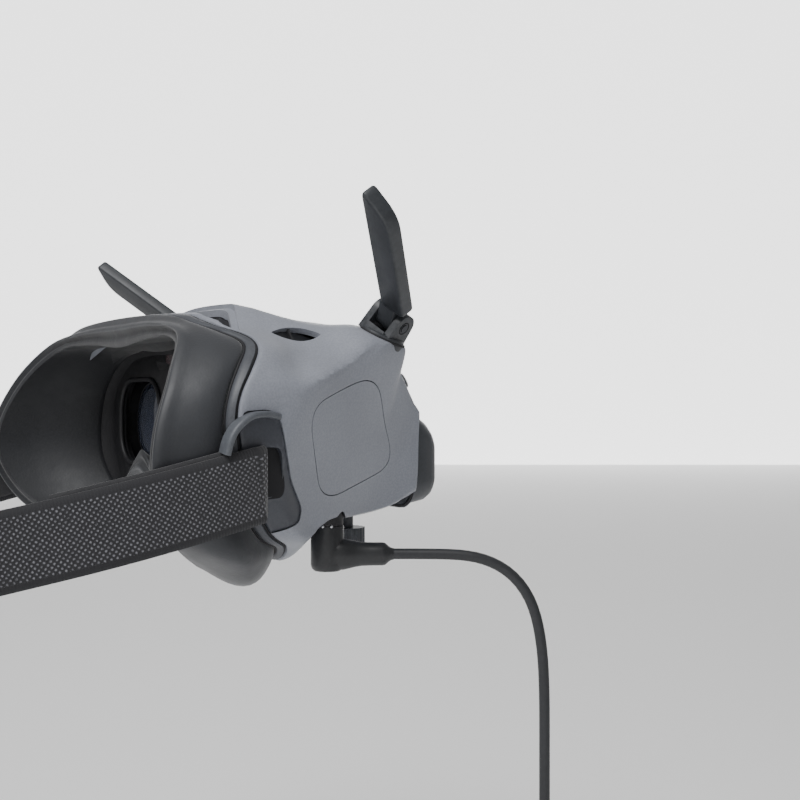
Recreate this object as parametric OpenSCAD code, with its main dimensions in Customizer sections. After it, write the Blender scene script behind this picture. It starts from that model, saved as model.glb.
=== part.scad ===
// FPV goggles: a face-worn video headset with two folding antennas, a head strap
// and a right-angle power lead. Millimetres, +Z up, -Y is the way the wearer looks,
// +X is the wearer's left. The origin is the centre of the face pad's mouth at eye height.

/* [Housing] */
// Half width of the grey shell behind the ridge
shell_half_w = 82; // [80:0.5:83]
// Wall thickness of the grey shell
wall = 2; // [1.6:0.1:2.4]
// Where the grey shell begins, behind the pad's ring
seam_y = -26.5; // [-27:0.1:-26]
// Where the front cover meets the grey shell
cap_y = -90; // [-91:0.5:-89]
// Foremost face of the front cover
front_y = -102; // [-103:0.5:-101]
// Gap between neighbouring shells
gap = 0.3; // [0.2:0.05:0.4]

/* [Face pad] */
// Thickness of the pad's wall at the lip
pad_wall = 9; // [7:0.5:10]
// How far the pad's outer wall bulges past the lip
pad_bulge = 1; // [0.5:0.25:1.25]

/* [Antennas] */
// Length of a blade from its hinge pin to its tip
blade_len = 50; // [48:0.5:52]
// Width of a blade along the hinge pin
blade_w = 9; // [8:0.5:9]
// Thickness of a blade
blade_t = 4.2; // [3.8:0.1:4.6]
// Radius of the hinge pin
pin_r = 1.2; // [1:0.1:1.4]

/* [Optics] */
// Distance of each eyepiece from the middle plane, half of 64 mm
half_ipd = 32; // [31:0.5:33]
// Outer radius of a lens tube
tube_r = 13; // [12.5:0.1:13.2]
// Radius of the two rods that the carriages slide on
rail_r = 1.5; // [1.3:0.1:1.6]

/* [Strap] */
// Width of the head strap
strap_w = 19; // [17:0.5:21]
// Thickness of the head strap
strap_t = 2; // [1.6:0.1:2.2]

/* [Power lead] */
// Diameter of the cord
cord_d = 3; // [2.8:0.1:3.2]
// Radius of the right-angle plug's overmould
plug_r = 4.6; // [4.4:0.1:4.8]
// Radius of the plug's metal barrel
barrel_r = 2.75; // [2.7:0.01:2.76]

/* [Ports] */
// Radius of the headphone socket, for a 3.5 mm jack
jack_r = 1.8; // [1.78:0.01:1.85]
// Depth of the headphone socket
jack_depth = 14; // [13:0.5:15]

/* [Hidden] */

grey = [0.52, 0.55, 0.60];
dark = [0.22, 0.23, 0.25];
black = [0.10, 0.10, 0.11];
metal = [0.75, 0.76, 0.78];

run_gap = 0.05;   // running clearance of shafts in bores

// ---- vectors and splines ----
function unit(v) = v / norm(v);
function flip(p) = [-p.x, p.y, p.z];
function spline(a, b, c, d, t) =
    ((1 - t)^3 * a + (3 * t^3 - 6 * t^2 + 4) * b + (-3 * t^3 + 3 * t^2 + 3 * t + 1) * c + t^3 * d) / 6;
function through(a, b, c, d, t) =
    0.5 * (2 * b + (c - a) * t + (2 * a - 5 * b + 4 * c - d) * t^2 + (3 * b - a - 3 * c + d) * t^3);
// A closed, smooth loop near the points p, with k steps for each point
function round_loop(p, k) = let (n = len(p))
    [for (i = [0 : n - 1], j = [0 : k - 1])
        spline(p[(i + n - 1) % n], p[i], p[(i + 1) % n], p[(i + 2) % n], j / k)];
// A closed, smooth loop through the points p, with k steps for each point
function exact_loop(p, k) = let (n = len(p))
    [for (i = [0 : n - 1], j = [0 : k - 1])
        through(p[(i + n - 1) % n], p[i], p[(i + 1) % n], p[(i + 2) % n], j / k)];
// An open line through the points p, with k steps between two points
function exact_line(p, k) = let (n = len(p)) concat(
    [for (i = [0 : n - 2], j = [0 : k - 1])
        through(p[max(i - 1, 0)], p[i], p[i + 1], p[min(i + 2, n - 1)], j / k)], [p[n - 1]]);
// The right half p, from the top to the bottom, and its mirror image as one loop
function both_halves(p) = let (n = len(p))
    concat(p, [for (i = [n - 2 : -1 : 1]) flip(p[i])]);

// A closed solid over rings of equally many points, with flat ends
module skin(rings) {
    n = len(rings[0]);
    m = len(rings);
    polyhedron(
        points = [for (r = rings) each r],
        faces = concat(
            [[for (j = [0 : n - 1]) j]],
            [[for (j = [n - 1 : -1 : 0]) (m - 1) * n + j]],
            [for (i = [0 : m - 2], j = [0 : n - 1], s = [0, 1])
                let (a = i * n + j, b = i * n + (j + 1) % n, c = a + n, d = b + n)
                s == 0 ? [a, c, b] : [b, c, d]]),
        convexity = 6);
}
// A closed ring-shaped solid over sections that follow each other round a loop
module ring_skin(rings) {
    n = len(rings[0]);
    m = len(rings);
    polyhedron(
        points = [for (r = rings) each r],
        faces = [for (i = [0 : m - 1], j = [0 : n - 1], s = [0, 1])
            let (a = i * n + j, b = i * n + (j + 1) % n,
                 c = ((i + 1) % m) * n + j, d = ((i + 1) % m) * n + (j + 1) % n)
            s == 0 ? [a, c, b] : [b, c, d]],
        convexity = 10);
}
// Runs its child in the right side's place, or mirrored for the left
module side(s) {
    if (s == "R") children();
    else mirror([1, 0, 0]) children();
}

// ---- housing outlines: half sections [x, y, z] of the wearer's left, top to bottom ----
w0 = shell_half_w;
function rear_section(y, rise, nose_z) = [[0, y, 34.2 + rise], [38, y, 33 + rise],
    [66, y, 27.5], [w0 - 3, y, 15],
    [w0 - 1.5, y, 0], [w0 - 3, y, -13], [w0 - 12, y, -27], [42, y, -30], [0, y, nose_z]];
sections = [
    rear_section(seam_y, 0, -11),
    rear_section(-40, 2.6, -15),
    [[0, -57, 38.5], [38, -57, 36], [66, -57, 29], [w0 - 3, -57, 18], [w0 - 8, -57, 0],
     [w0 - 11, -57, -15], [w0 - 20, -57, -27.5], [38, -57, -30], [0, -57, -24]],
    [[0, -74, 31], [36, -74, 29], [62, -74, 26], [w0 - 12, -74, 17], [w0 - 16, -74, 0],
     [w0 - 19, -74, -15], [w0 - 28, -74, -27], [34, -74, -29], [0, -74, -28]],
    [[0, cap_y, 14], [34, cap_y, 13], [54, cap_y, 11], [59, cap_y, 5], [59, cap_y, -5],
     [58, cap_y, -15], [51, cap_y, -25], [30, cap_y, -27], [0, cap_y, -26.5]]];
loop_steps = 3;
row_steps = 3;
axis_z = 2;
// Sections drawn in by t all round, for the inside of the shell
function drawn_in(t) = [for (s = sections)
    [for (p = s) let (d = unit([p.x, 0, p.z - axis_z])) p - t * [d.x, 0, d.z]]];
function shell_rings(t, y0, y1) = let (
    loops = [for (s = drawn_in(t)) round_loop(both_halves(s), loop_steps)],
    n = len(loops[0]),
    lines = [for (j = [0 : n - 1]) exact_line([for (l = loops) l[j]], row_steps)])
    [for (i = [0 : len(lines[0]) - 1]) [for (j = [n - 1 : -1 : 0]) let (p = lines[j][i])
        [p.x, min(y0, max(y1, p.y)), p.z]]];
// Child in a frame with its origin at o, its X along x and its Z along z
module placed(o, x, z) {
    y = cross(z, x);
    multmatrix([[x.x, y.x, z.x, o.x], [x.y, y.y, z.y, o.y], [x.z, y.z, z.z, o.z], [0, 0, 0, 1]])
        children();
}
function square_to(v, z) = unit(v - (v * z) * z);

// ---- antenna hinge frame on the wearer's right ----
hinge = [-67.5, -74, 29.5];
blade_dir = unit([-0.635, 0.53, 0.56]);
pin_dir = square_to([-0.76, -0.33, -0.56], blade_dir);
turret_dir = unit([-0.33, -0.29, 0.9]);
knuckle_r = 3.3;
knuckle_w = 6;
ear_t = 1.8;
// Child in the hinge's frame: X along the blade, Y across its flat, Z along the pin
module at_hinge() placed(hinge, blade_dir, pin_dir) children();
// Child in the turret's frame: Z along the turret, origin on the hinge
module at_turret() placed(hinge, square_to([1, 0, 0], turret_dir), turret_dir) children();
turret_r = 6;
turret_foot = 11;

// ---- pad, ring and baffle: half loops, top to bottom ----
lip = [[0, -20, 29], [32, -19, 28.5], [57, -16.5, 25], [70, -9.5, 14], [75.5, -3.5, -1],
    [74.5, -3.5, -14], [66, -11, -28], [51, -24, -37], [35, -27, -35], [21, -27, -25], [0, -27, -14]];
pad_foot = [[0, -21.5, 32], [35, -21.5, 31.5], [62, -21, 27], [75.5, -20.5, 15], [77.5, -20.5, -1],
    [76.5, -21.5, -14], [69, -29, -31], [53, -39, -41], [32, -41, -37], [17, -37, -26], [0, -34, -18]];
ring_foot = [[0, -26, 33], [36, -26, 32], [64, -26, 27], [77, -26, 15], [79, -26, -1],
    [78, -27, -14], [68, -39, -31], [50, -47, -37], [31, -47, -34], [17, -43, -25], [0, -40, -19]];
bowl_foot = [[0, -36, 23], [30, -36, 23], [48, -36, 20], [60, -35, 11], [63, -34, -1],
    [61, -34, -12], [54, -36, -22], [45, -38, -27], [34, -38, -25], [24, -38, -17], [0, -37, -9]];
pad_steps = 3;
function pad_loop(p) = exact_loop(both_halves(p), pad_steps);
lip_line = pad_loop(lip);
foot_line = pad_loop(pad_foot);
ring_line = pad_loop(ring_foot);
bowl_line = pad_loop(bowl_foot);
// The section of the pad at step i, from the outer foot over the lip to the bowl's floor
function pad_section(i) = let (
    l = lip_line[i], f = foot_line[i], b = bowl_line[i],
    out = unit(f - b), in_lip = l + (b - l) * 0.22, mid = (l + f) / 2)
    [f, mid + pad_bulge * out, l + pad_bulge * 0.6 * out, l + [0, 1.6, 0] - 1.2 * out,
     in_lip + [0, 1.2, 0], l + (b - l) * 0.5 + [0, -2, 0] - 2 * out, b,
     b + [0, -2, 0] + 3 * out, f - pad_wall * 0.55 * out];
function ring_section(i) = let (f = foot_line[i], r = ring_line[i], b = bowl_line[i],
    out = unit(f - b))
    [f + [0, -gap, 0] + 0.6 * out, r + 0.6 * out, r - 6 * out, f + [0, -gap, 0] - 4 * out];

// ---- strap and cord routes, hand-chosen points on the wearer's right ----
strap_half = [[-80.5, -31, -13], [-81.5, -20, -15.5], [-80.4, -5, -19], [-76.8, 12, -23],
    [-71.5, 30, -27], [-66, 52, -31.5], [-60, 76, -36], [-52, 100, -40], [-40, 122, -43],
    [-22, 137, -45], [0, 142, -45.5]];
plug_at = [-57.6, -59.4];
plug_top = -27.6;
plug_leg_z = -35.5;
away = unit([-9, -15, 0]);
cord_route = [[-66.6, -74.4, -35.5], [-70.5, -80.5, -35.5], [-74.4, -86.3, -35.5],
    [-78.3, -92.3, -35.8], [-82.1, -98, -37.5], [-85.5, -103.2, -41.5], [-88, -107, -48], [-89, -109, -56],
    [-89.5, -110, -65], [-90, -110, -75], [-90, -110, -85], [-90, -110, -95],
    [-90, -110, -105], [-90, -110, -118]];
coil_at = [-90, -110, -137.5];
coil_r = 17;
coil_section = 9;

// ---- housing ----
cap_w = 54;
cap_top = 4;
cap_low = -24;
// A rounded slab across X and Z, from y = 0 towards -Y, centred on x = 0
module slab(w, z0, z1, depth, r) {
    translate([0, 0, (z0 + z1) / 2]) rotate([90, 0, 0]) linear_extrude(depth)
        union() {
            square([2 * w, z1 - z0 - 2 * r], center = true);
            square([2 * (w - r), z1 - z0], center = true);
            for (x = [-1, 1], z = [-1, 1])
                translate([x * (w - r), z * ((z1 - z0) / 2 - r)]) circle(r, $fn = 32);
        }
}
vent_at = [-61, -47.5, 26];
vent_up = unit([-0.36, -0.05, 0.93]);
vent_arc = 8.05;
vent_off = 4.75;
// Child in the frame of the eye-shaped vent: X along it, Z out of the shell
module at_vent(s) side(s) placed(vent_at, square_to([-0.53, -0.8, 0], vent_up), vent_up) children();
module vent_outline(s, grow, h) at_vent(s) intersection() {
    translate([0, vent_off, -h / 2]) cylinder(h = h, r = vent_arc + grow, $fn = 48);
    translate([0, -vent_off, -h / 2]) cylinder(h = h, r = vent_arc + grow, $fn = 48);
}
button_at = [-52.5, -86.6, 12.2];
button_dir = unit([-0.55, -0.7, 0.45]);
button_r = 2.3;
module at_button() placed(button_at, square_to([0, 0, 1], button_dir), button_dir) children();
dial_slot = [14, 7];
dial_y = -80;
jack_at = [57, -50];
usb_at = [46.5, -57];
card_at = [47.5, -66];
floor_z = -30;
module front_shell() color(grey) difference() {
    skin(shell_rings(0, seam_y - gap, cap_y + gap));
    skin(shell_rings(wall, seam_y + 5, cap_y + wall + gap));
    translate([0, cap_y + 8, 0]) slab(cap_w - 5, cap_low + 4, cap_top - 4, 12, 6);
    for (s = ["R", "L"]) vent_outline(s, 0.2, 14);
    for (x = [-half_ipd, half_ipd]) translate([x, dial_y, floor_z])
        cube([dial_slot.x, dial_slot.y, 14], center = true);
    for (s = ["R", "L"]) anchor_block(s, 2 * gap);
    panel_plate(12, gap);
    at_button() cylinder(h = 14, r = button_r + 4 * run_gap, center = true, $fn = 48);
    translate([plug_at.x, plug_at.y, floor_z + 2]) cylinder(h = 20, r = 5.2, center = true, $fn = 48);
    translate([jack_at.x, jack_at.y, floor_z]) cylinder(h = 14, r = 4.2, center = true, $fn = 48);
    translate([usb_at.x, usb_at.y, floor_z]) cube([11, 5.6, 14], center = true);
    translate([card_at.x, card_at.y, floor_z]) cube([14, 4, 14], center = true);
    vent_bar(gap / 2, 8);
}
function cap_ring(y, w, z0, z1, r) = [for (q = [0 : 3], i = [0 : 5])
    let (a = 90 * q + i * 18, x = (q == 0 || q == 3 ? 1 : -1) * (w - r),
         z = q < 2 ? z1 - r : z0 + r) [x + r * cos(a), y, z + r * sin(a)]];
module front_cap() color(dark) difference() {
    skin([cap_ring(cap_y, cap_w + 1, cap_low, cap_top, 7), cap_ring(cap_y - 5, cap_w, cap_low + 0.5, 3, 7),
        cap_ring(front_y + 4.5, cap_w - 1, -22.5, 1.5, 7), cap_ring(front_y + 1.2, cap_w - 4, -20.5, -1, 6),
        cap_ring(front_y, cap_w - 6, -19, -2.5, 5.5)]);
    skin([cap_ring(cap_y + 1, cap_w - 1, cap_low + 2, 2, 5),
        cap_ring(front_y + 5, cap_w - 3, -20.5, -0.5, 5),
        cap_ring(front_y + wall, cap_w - 7, -18, -3.5, 4)]);
    for (x = [-5 : 5]) translate([x * 7, front_y, -10.5]) cube([4, 8, 2.4], center = true);
}
module rear_frame() color(dark) ring_skin([for (i = [len(ring_line) - 1 : -1 : 0]) ring_section(i)]);
module face_pad() color(black) ring_skin([for (i = [len(lip_line) - 1 : -1 : 0]) pad_section(i)]);
baffle_y = -38.6;
baffle_t = 1.6;
eye_hole = [42, 30];
// Room over the bridge of the nose, wider below
module nose_notch() {
    translate([0, baffle_y - 3, -24]) cube([40, 12, 22], center = true);
    translate([0, baffle_y - 3, -28]) cube([52, 12, 22], center = true);
}
module eye_baffle() color(black) difference() {
    translate([0, baffle_y, 0]) slab(61, -20.5, 24, baffle_t, 12);
    nose_notch();
    for (x = [-half_ipd, half_ipd]) translate([x, baffle_y + 1, 0])
        slab(eye_hole.x / 2 - 1.5, -eye_hole.y / 2, eye_hole.y / 2, 6, 14);
}
vent_y = -33;
vent_depth = 7;
vent_bars = 15;
vent_edge = [[0, 34.8], [15, 34.6], [30, 33.8], [40, 32.4], [46, 31]];
// The crown's curved air inlet, from its underside up to h above its outer face
module vent_bar(grow, h) translate([0, vent_y, 0]) rotate([90, 0, 0])
    linear_extrude(vent_depth + 2 * grow, center = true) polygon(concat(
    [for (p = vent_edge) [p.x + grow, p.y + h]],
    [for (i = [4 : -1 : 0]) [vent_edge[i].x + grow, vent_edge[i].y - 2.8]],
    [for (p = vent_edge) [-p.x - grow, p.y - 2.8]],
    [for (i = [4 : -1 : 0]) [-vent_edge[i].x - grow, vent_edge[i].y + h]]));
module top_vent() color(dark) difference() {
    vent_bar(0, 0);
    for (i = [0 : vent_bars - 1]) translate([(i - (vent_bars - 1) / 2) * 5.8, vent_y, 33])
        cube([4, 4.4, 14], center = true);
}
module vent_mesh(s) color(black) difference() {
    vent_outline(s, -0.2, 2.4);
    at_vent(s) for (x = [-2 : 2], y = [-1 : 1]) translate([x * 2, y * 1.7, 0])
        cube([1.2, 1, 6], center = true);
}
module vent_mesh_R() vent_mesh("R");
module vent_mesh_L() vent_mesh("L");
panel_t = 1.6;
panel_at = [-69.6, -62, -2.5];
panel_out = unit([-0.90, -0.40, -0.16]);
// The touch panel's corners, along the flat towards the front and up it
panel = [[-19, 7], [4, 15.5], [9, 13.5], [19, -6], [16, -10.5], [-12, -15.5], [-17, -13], [-20, 0]];
module panel_plate(t, grow) placed(panel_at, square_to([0.44, -0.9, 0], panel_out), panel_out)
    translate([0, 0, -t / 2]) linear_extrude(t)
        polygon([for (p = round_loop(panel, 3)) p * (1 + grow / 18)]);
module touch_panel() color([0.46, 0.49, 0.54]) panel_plate(panel_t, 0);
anchor_x = 80;
anchor_size = [6, 15, 30];
slot_w = 3.4;
module anchor_block(s, grow) side(s) translate([-anchor_x, -36.5, -10])
    cube(anchor_size + [grow, grow, grow], center = true);
module strap_anchor(s) color(dark) difference() {
    anchor_block(s, 0);
    side(s) translate([-anchor_x - 3.5, -39.5, -12]) cube([6, 5, strap_w + 2], center = true);
    side(s) translate([-80.5, -30.5, -12.6]) cube([slot_w, 12, strap_w + 1.6], center = true);
}
module strap_anchor_R() strap_anchor("R");
module strap_anchor_L() strap_anchor("L");

// ---- strap ----
strap_line = let (h = exact_line(strap_half, 3)) concat(h, [for (i = [len(h) - 2 : -1 : 0]) flip(h[i])]);
function run_dir(p, i) = unit(p[min(i + 1, len(p) - 1)] - p[max(i - 1, 0)]);
// Flat band of width w and thickness t, whose middle is off inwards and lift upwards from the line
module band(line, w, t, off, lift) skin([for (i = [0 : len(line) - 1]) let (
    d = run_dir(line, i), inward = unit(cross(d, [0, 0, 1])), m = line[i] + off * inward + [0, 0, lift])
    [m + t / 2 * inward + [0, 0, w / 2], m - t / 2 * inward + [0, 0, w / 2],
     m - t / 2 * inward - [0, 0, w / 2], m + t / 2 * inward - [0, 0, w / 2]]]);
module strap() color(black) band(strap_line, strap_w, strap_t, 0, 0);
fold_t = 1.6;
module strap_fold(s) color(black) side(s)
    band([for (i = [3 : 10]) strap_line[i]], strap_w - 1, fold_t, (strap_t + fold_t) / 2 + 0.1, 1.4);
module strap_fold_R() strap_fold("R");
module strap_fold_L() strap_fold("L");

// ---- antennas ----
module antenna_turret(s) color(dark) side(s) difference() {
    union() {
        at_turret() translate([0, 0, -turret_foot]) cylinder(h = turret_foot - 4.6, r = turret_r, $fn = 48);
        for (z = [-1, 1]) at_hinge() translate([0, 0, z * (knuckle_w / 2 + gap / 2 + ear_t / 2)])
            cylinder(h = ear_t, r = knuckle_r + 0.5, center = true, $fn = 48);
        for (z = [-1, 1]) intersection() {
            at_hinge() translate([0, 0, z * (knuckle_w / 2 + gap / 2 + ear_t / 2)])
                cube([30, 30, ear_t], center = true);
            at_turret() translate([0, 0, -turret_foot / 2 - 1]) cylinder(h = turret_foot - 2, r = 4.6,
                center = true, $fn = 48);
        }
    }
    at_hinge() cylinder(h = 20, r = pin_r, center = true, $fn = 48);
}
module antenna_turret_R() antenna_turret("R");
module antenna_turret_L() antenna_turret("L");
pin_len = knuckle_w + gap + 2 * ear_t + 1;
module hinge_pin(s) color(metal) side(s) at_hinge()
    cylinder(h = pin_len, r = pin_r, center = true, $fn = 48);
module hinge_pin_R() hinge_pin("R");
module hinge_pin_L() hinge_pin("L");
chamfer = 5.5;
// The blade stands off the pin's middle, along the pin and across its own flat
blade_side = 2.2;
blade_off = 1.1;
module blade_outline(grow) translate([0, blade_side]) polygon([[6 - grow, -blade_w / 2 - grow],
    [blade_len + grow, -blade_w / 2 - grow], [blade_len - chamfer + grow, blade_w / 2 - 1.5],
    [blade_len - chamfer - 2 + grow, blade_w / 2 + grow], [6 - grow, blade_w / 2 + grow]]);
module antenna_blade(s) color(dark) side(s) at_hinge() difference() {
    union() {
        cylinder(h = knuckle_w - gap, r = knuckle_r, center = true, $fn = 48);
        translate([3.6, 0, 0]) cube([7.2, blade_t - 0.6, knuckle_w - gap], center = true);
        rotate([90, 0, 0]) translate([0, 0, blade_off - blade_t / 2]) linear_extrude(blade_t)
            blade_outline(0);
    }
    rotate([90, 0, 0]) translate([0, 0, blade_off - blade_t / 2 + 1.2]) linear_extrude(blade_t - 2.4)
        blade_outline(-1.3);
    cylinder(h = 20, r = pin_r + run_gap, center = true, $fn = 48);
}
module antenna_blade_R() antenna_blade("R");
module antenna_blade_L() antenna_blade("L");
module antenna_element(s) color([0.75, 0.55, 0.25]) side(s) at_hinge()
    translate([blade_len / 2 + 2.5, -blade_off, blade_side])
        cube([blade_len - 18, 0.8, blade_w - 4.4], center = true);
module antenna_element_R() antenna_element("R");
module antenna_element_L() antenna_element("L");

// ---- optics ----
rail_y = -62;
rail_z = 18.5;
wall_x = 51.9;
module inner_frame() color(dark) difference() {
    union() {
        translate([0, -41, 0]) slab(58, -22.5, 22.5, 1.6, 8);
        translate([0, -72, 0]) slab(58, -22.5, 22.5, 1.6, 8);
        translate([0, -57.3, 0]) cube([2.6, 33, 43], center = true);
        for (x = [-wall_x, wall_x]) translate([x, -57.3, 0]) cube([1.4, 33, 43], center = true);
    }
    nose_notch();
    for (x = [-half_ipd, half_ipd]) translate([x, -40, 0])
        slab(eye_hole.x / 2 - 1, -eye_hole.y / 2, eye_hole.y / 2, 6, 14);
    for (x = [-half_ipd, half_ipd]) translate([x, -70, 0]) slab(20, -16, 14, 6, 3);
    for (x = [-half_ipd, half_ipd]) translate([x, -73, -24]) cube([20, 8, 6], center = true);
    for (z = [-rail_z, rail_z]) translate([0, rail_y, z]) rotate([0, 90, 0])
        cylinder(h = 130, r = rail_r, center = true, $fn = 48);
}
module ipd_rails() color(metal) for (z = [-rail_z, rail_z])
    translate([0, rail_y, z]) rotate([0, 90, 0])
    cylinder(h = 2 * wall_x + 1.4, r = rail_r, center = true, $fn = 48);
arm_z = -24.6;
stem_r = 2.4;
block = [28.4, 20, 42];
module carriage(s) color(black) side(s) difference() {
    union() {
        translate([-half_ipd, -57.5, 0]) cube([block.x, 18, block.z], center = true);
        translate([-half_ipd, -71, arm_z + 2.4]) cube([9, 30, 2.4], center = true);
        translate([-half_ipd, dial_y, arm_z + 2.4]) cylinder(h = 2.4, r = 4.5, center = true, $fn = 48);
    }
    translate([-half_ipd, -40, 0]) rotate([90, 0, 0]) cylinder(h = 24, r = tube_r + run_gap, $fn = 96);
    translate([-half_ipd, -64.8, 0]) cube([21, 5, 21], center = true);
    for (z = [-rail_z, rail_z]) translate([-half_ipd, rail_y, z]) rotate([0, 90, 0])
        cylinder(h = 40, r = rail_r + run_gap, center = true, $fn = 48);
    translate([-half_ipd, dial_y, arm_z]) cylinder(h = 12, r = stem_r + run_gap, center = true, $fn = 48);
}
module carriage_R() carriage("R");
module carriage_L() carriage("L");
module display(s) color([0.05, 0.06, 0.10]) side(s) translate([-half_ipd, -65.6, 0])
    cube([20.8, 1.6, 20.8], center = true);
module display_R() display("R");
module display_L() display("L");
tube_back = -43;
tube_len = 16;
module lens_tube(s) color(black) side(s) translate([-half_ipd, tube_back, 0]) rotate([90, 0, 0])
    difference() {
        cylinder(h = tube_len, r = tube_r, $fn = 96);
        translate([0, 0, -1]) cylinder(h = 6, r = tube_r - 1.2, $fn = 96);
        cylinder(h = tube_len + 1, r = tube_r - 3, $fn = 96);
    }
module lens_tube_R() lens_tube("R");
module lens_tube_L() lens_tube("L");
module eyepiece(s) color([0.55, 0.60, 0.72, 0.5]) side(s) translate([-half_ipd, tube_back - 5, 0])
    rotate([-90, 0, 0]) intersection() {
        cylinder(h = 4, r = tube_r - 1.2, $fn = 96);
        translate([0, 0, -22]) sphere(r = 25.6, $fn = 96);
    }
module eyepiece_R() eyepiece("R");
module eyepiece_L() eyepiece("L");
stem_top = -20;
stem_low = -34;
dial_r = 6;
module dial_stem(s) color(dark) side(s) translate([-half_ipd, dial_y, stem_low])
    cylinder(h = stem_top - stem_low, r = stem_r, $fn = 48);
module dial_stem_R() dial_stem("R");
module dial_stem_L() dial_stem("L");
dial_h = 5;
dial_top = -31.4;
module dial(s) color(dark) side(s) translate([-half_ipd, dial_y, dial_top - dial_h]) difference() {
    cylinder(h = dial_h, r = dial_r, $fn = 96);
    translate([0, 0, stem_low - dial_top + dial_h - run_gap]) cylinder(h = dial_h, r = stem_r + run_gap,
        $fn = 48);
    for (a = [0 : 20 : 340]) rotate([0, 0, a]) translate([dial_r + 0.35, 0, -1])
        cylinder(h = dial_h + 2, r = 0.7, $fn = 16);
}
module dial_R() dial("R");
module dial_L() dial("L");
module proximity_sensor() color([0.15, 0.08, 0.08]) translate([0, baffle_y + 0.8, 19])
    cube([9, 1.4, 4], center = true);

// ---- electronics and cooling ----
module main_board() color([0.08, 0.28, 0.18]) difference() {
    translate([0, -75.2, 2]) cube([92, 1.6, 38], center = true);
    for (x = [-42, 42], z = [-12, 17]) translate([x, -75.2, z]) rotate([90, 0, 0])
        cylinder(h = 4, r = 1.1, center = true, $fn = 32);
}
fin_count = 11;
module heat_sink() color(metal) {
    translate([0, -77.3, -1]) cube([60, 2, 26], center = true);
    for (i = [0 : fin_count - 1]) translate([(i - (fin_count - 1) / 2) * 5.6, -80.6, -1])
        cube([1.2, 4.8, 26], center = true);
}
fan_z = -10;
fan_r = 9;
module fan_housing() color(black) difference() {
    translate([0, -91, fan_z]) cube([21.6, 10, 19], center = true);
    translate([0, -84, fan_z]) rotate([90, 0, 0]) cylinder(h = 10.4, r = fan_r, $fn = 64);
    for (a = [45 : 90 : 315]) translate([0, -84, fan_z]) rotate([0, a, 0]) translate([5.6, 0, 0])
        rotate([90, 0, 0]) cylinder(h = 20, r = 2.6, $fn = 32);
    translate([0, -90, fan_z]) rotate([90, 0, 0]) cylinder(h = 12, r = 1 + run_gap, $fn = 32);
}
blades = 7;
module fan_rotor() color(dark) translate([0, -87, fan_z]) rotate([90, 0, 0]) {
    cylinder(h = 6, r = 4, $fn = 48);
    cylinder(h = 8.6, r = 1, $fn = 32);
    for (i = [0 : blades - 1]) rotate([0, 0, i * 360 / blades]) translate([3.6, -0.5, 0.6])
        rotate([35, 0, 0]) cube([4.6, 1, 5]);
}
module link_button() color(dark) at_button() translate([0, 0, -3])
    cylinder(h = 5.2, r = button_r, $fn = 48);

// ---- ports ----
module power_jack() color(black) difference() {
    translate([plug_at.x, plug_at.y, plug_top + 0.2]) cylinder(h = 12, r = 4.4, $fn = 48);
    translate([plug_at.x, plug_at.y, plug_top - 1]) cylinder(h = 11, r = barrel_r + 0.1, $fn = 48);
}
jack_low = -28.5;
module headphone_jack() color(black) difference() {
    translate([jack_at.x, jack_at.y, jack_low]) cylinder(h = jack_depth + 2, r = 4, $fn = 48);
    translate([jack_at.x, jack_at.y, jack_low - 1]) cylinder(h = jack_depth + 1, r = jack_r, $fn = 48);
}
port_h = 5.8;
module usb_port() color(metal) difference() {
    translate([usb_at.x, usb_at.y, jack_low + port_h / 2]) cube([10.6, 5.2, port_h], center = true);
    translate([usb_at.x, usb_at.y, jack_low + port_h / 2 - 1]) cube([8.4, 2.6, port_h], center = true);
}
module card_slot() color(metal) difference() {
    translate([card_at.x, card_at.y, jack_low + port_h / 2]) cube([13, 3.2, port_h], center = true);
    translate([card_at.x, card_at.y, jack_low + port_h / 2 - 1]) cube([11.2, 1.2, port_h], center = true);
}
module housing_screws() color(metal) for (x = [-42, 42], z = [-12, 17]) translate([x, -76, z])
    rotate([90, 0, 0]) {
        cylinder(h = 1.6, r = 2, $fn = 32);
        translate([0, 0, -2.4]) cylinder(h = 4, r = 1.1, $fn = 32);
    }

// ---- power lead ----
function across(p, i) = unit(cross(run_dir(p, i), [0.8406, -0.5417, 0]));
// A round tube of diameter d with flat sides along the points
module cord_tube(p, d, sides) skin([for (i = [0 : len(p) - 1]) let (
    t = run_dir(p, i), u = across(p, i), v = cross(t, u))
    [for (j = [0 : sides - 1]) p[i] + d / 2 * (cos(j * 360 / sides) * u + sin(j * 360 / sides) * v)]]);
cord_line = exact_line(cord_route, 2);
leg_end = cord_route[0];
module plug_body() color(dark) {
    difference() {
        translate([plug_at.x, plug_at.y, -40]) cylinder(h = 40 + plug_top, r = plug_r, $fn = 48);
        translate([plug_at.x, plug_at.y, -39]) cylinder(h = 20, r = barrel_r, $fn = 48);
    }
    hull() for (r = [[0, 3.9], [11, 3.2]]) translate([plug_at.x, plug_at.y, plug_leg_z]
        + (4.2 + r[0]) * away) rotate([0, 0, atan2(away.y, away.x)]) rotate([0, 90, 0])
        cylinder(h = 0.4, r = r[1], center = true, $fn = 32);
    translate(leg_end - 2.2 * away) rotate([0, 0, atan2(away.y, away.x)]) rotate([0, 90, 0])
        cylinder(h = 2.2, r = 2.8, $fn = 32);
}
module plug_barrel() color(metal) difference() {
    translate([plug_at.x, plug_at.y, -39]) cylinder(h = 39 + plug_top + 9, r = barrel_r, $fn = 48);
    translate([plug_at.x, plug_at.y, plug_top]) cylinder(h = 12, r = 1.1, $fn = 32);
}
module cord_lead() color(dark) cord_tube(cord_line, cord_d, 8);
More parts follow.
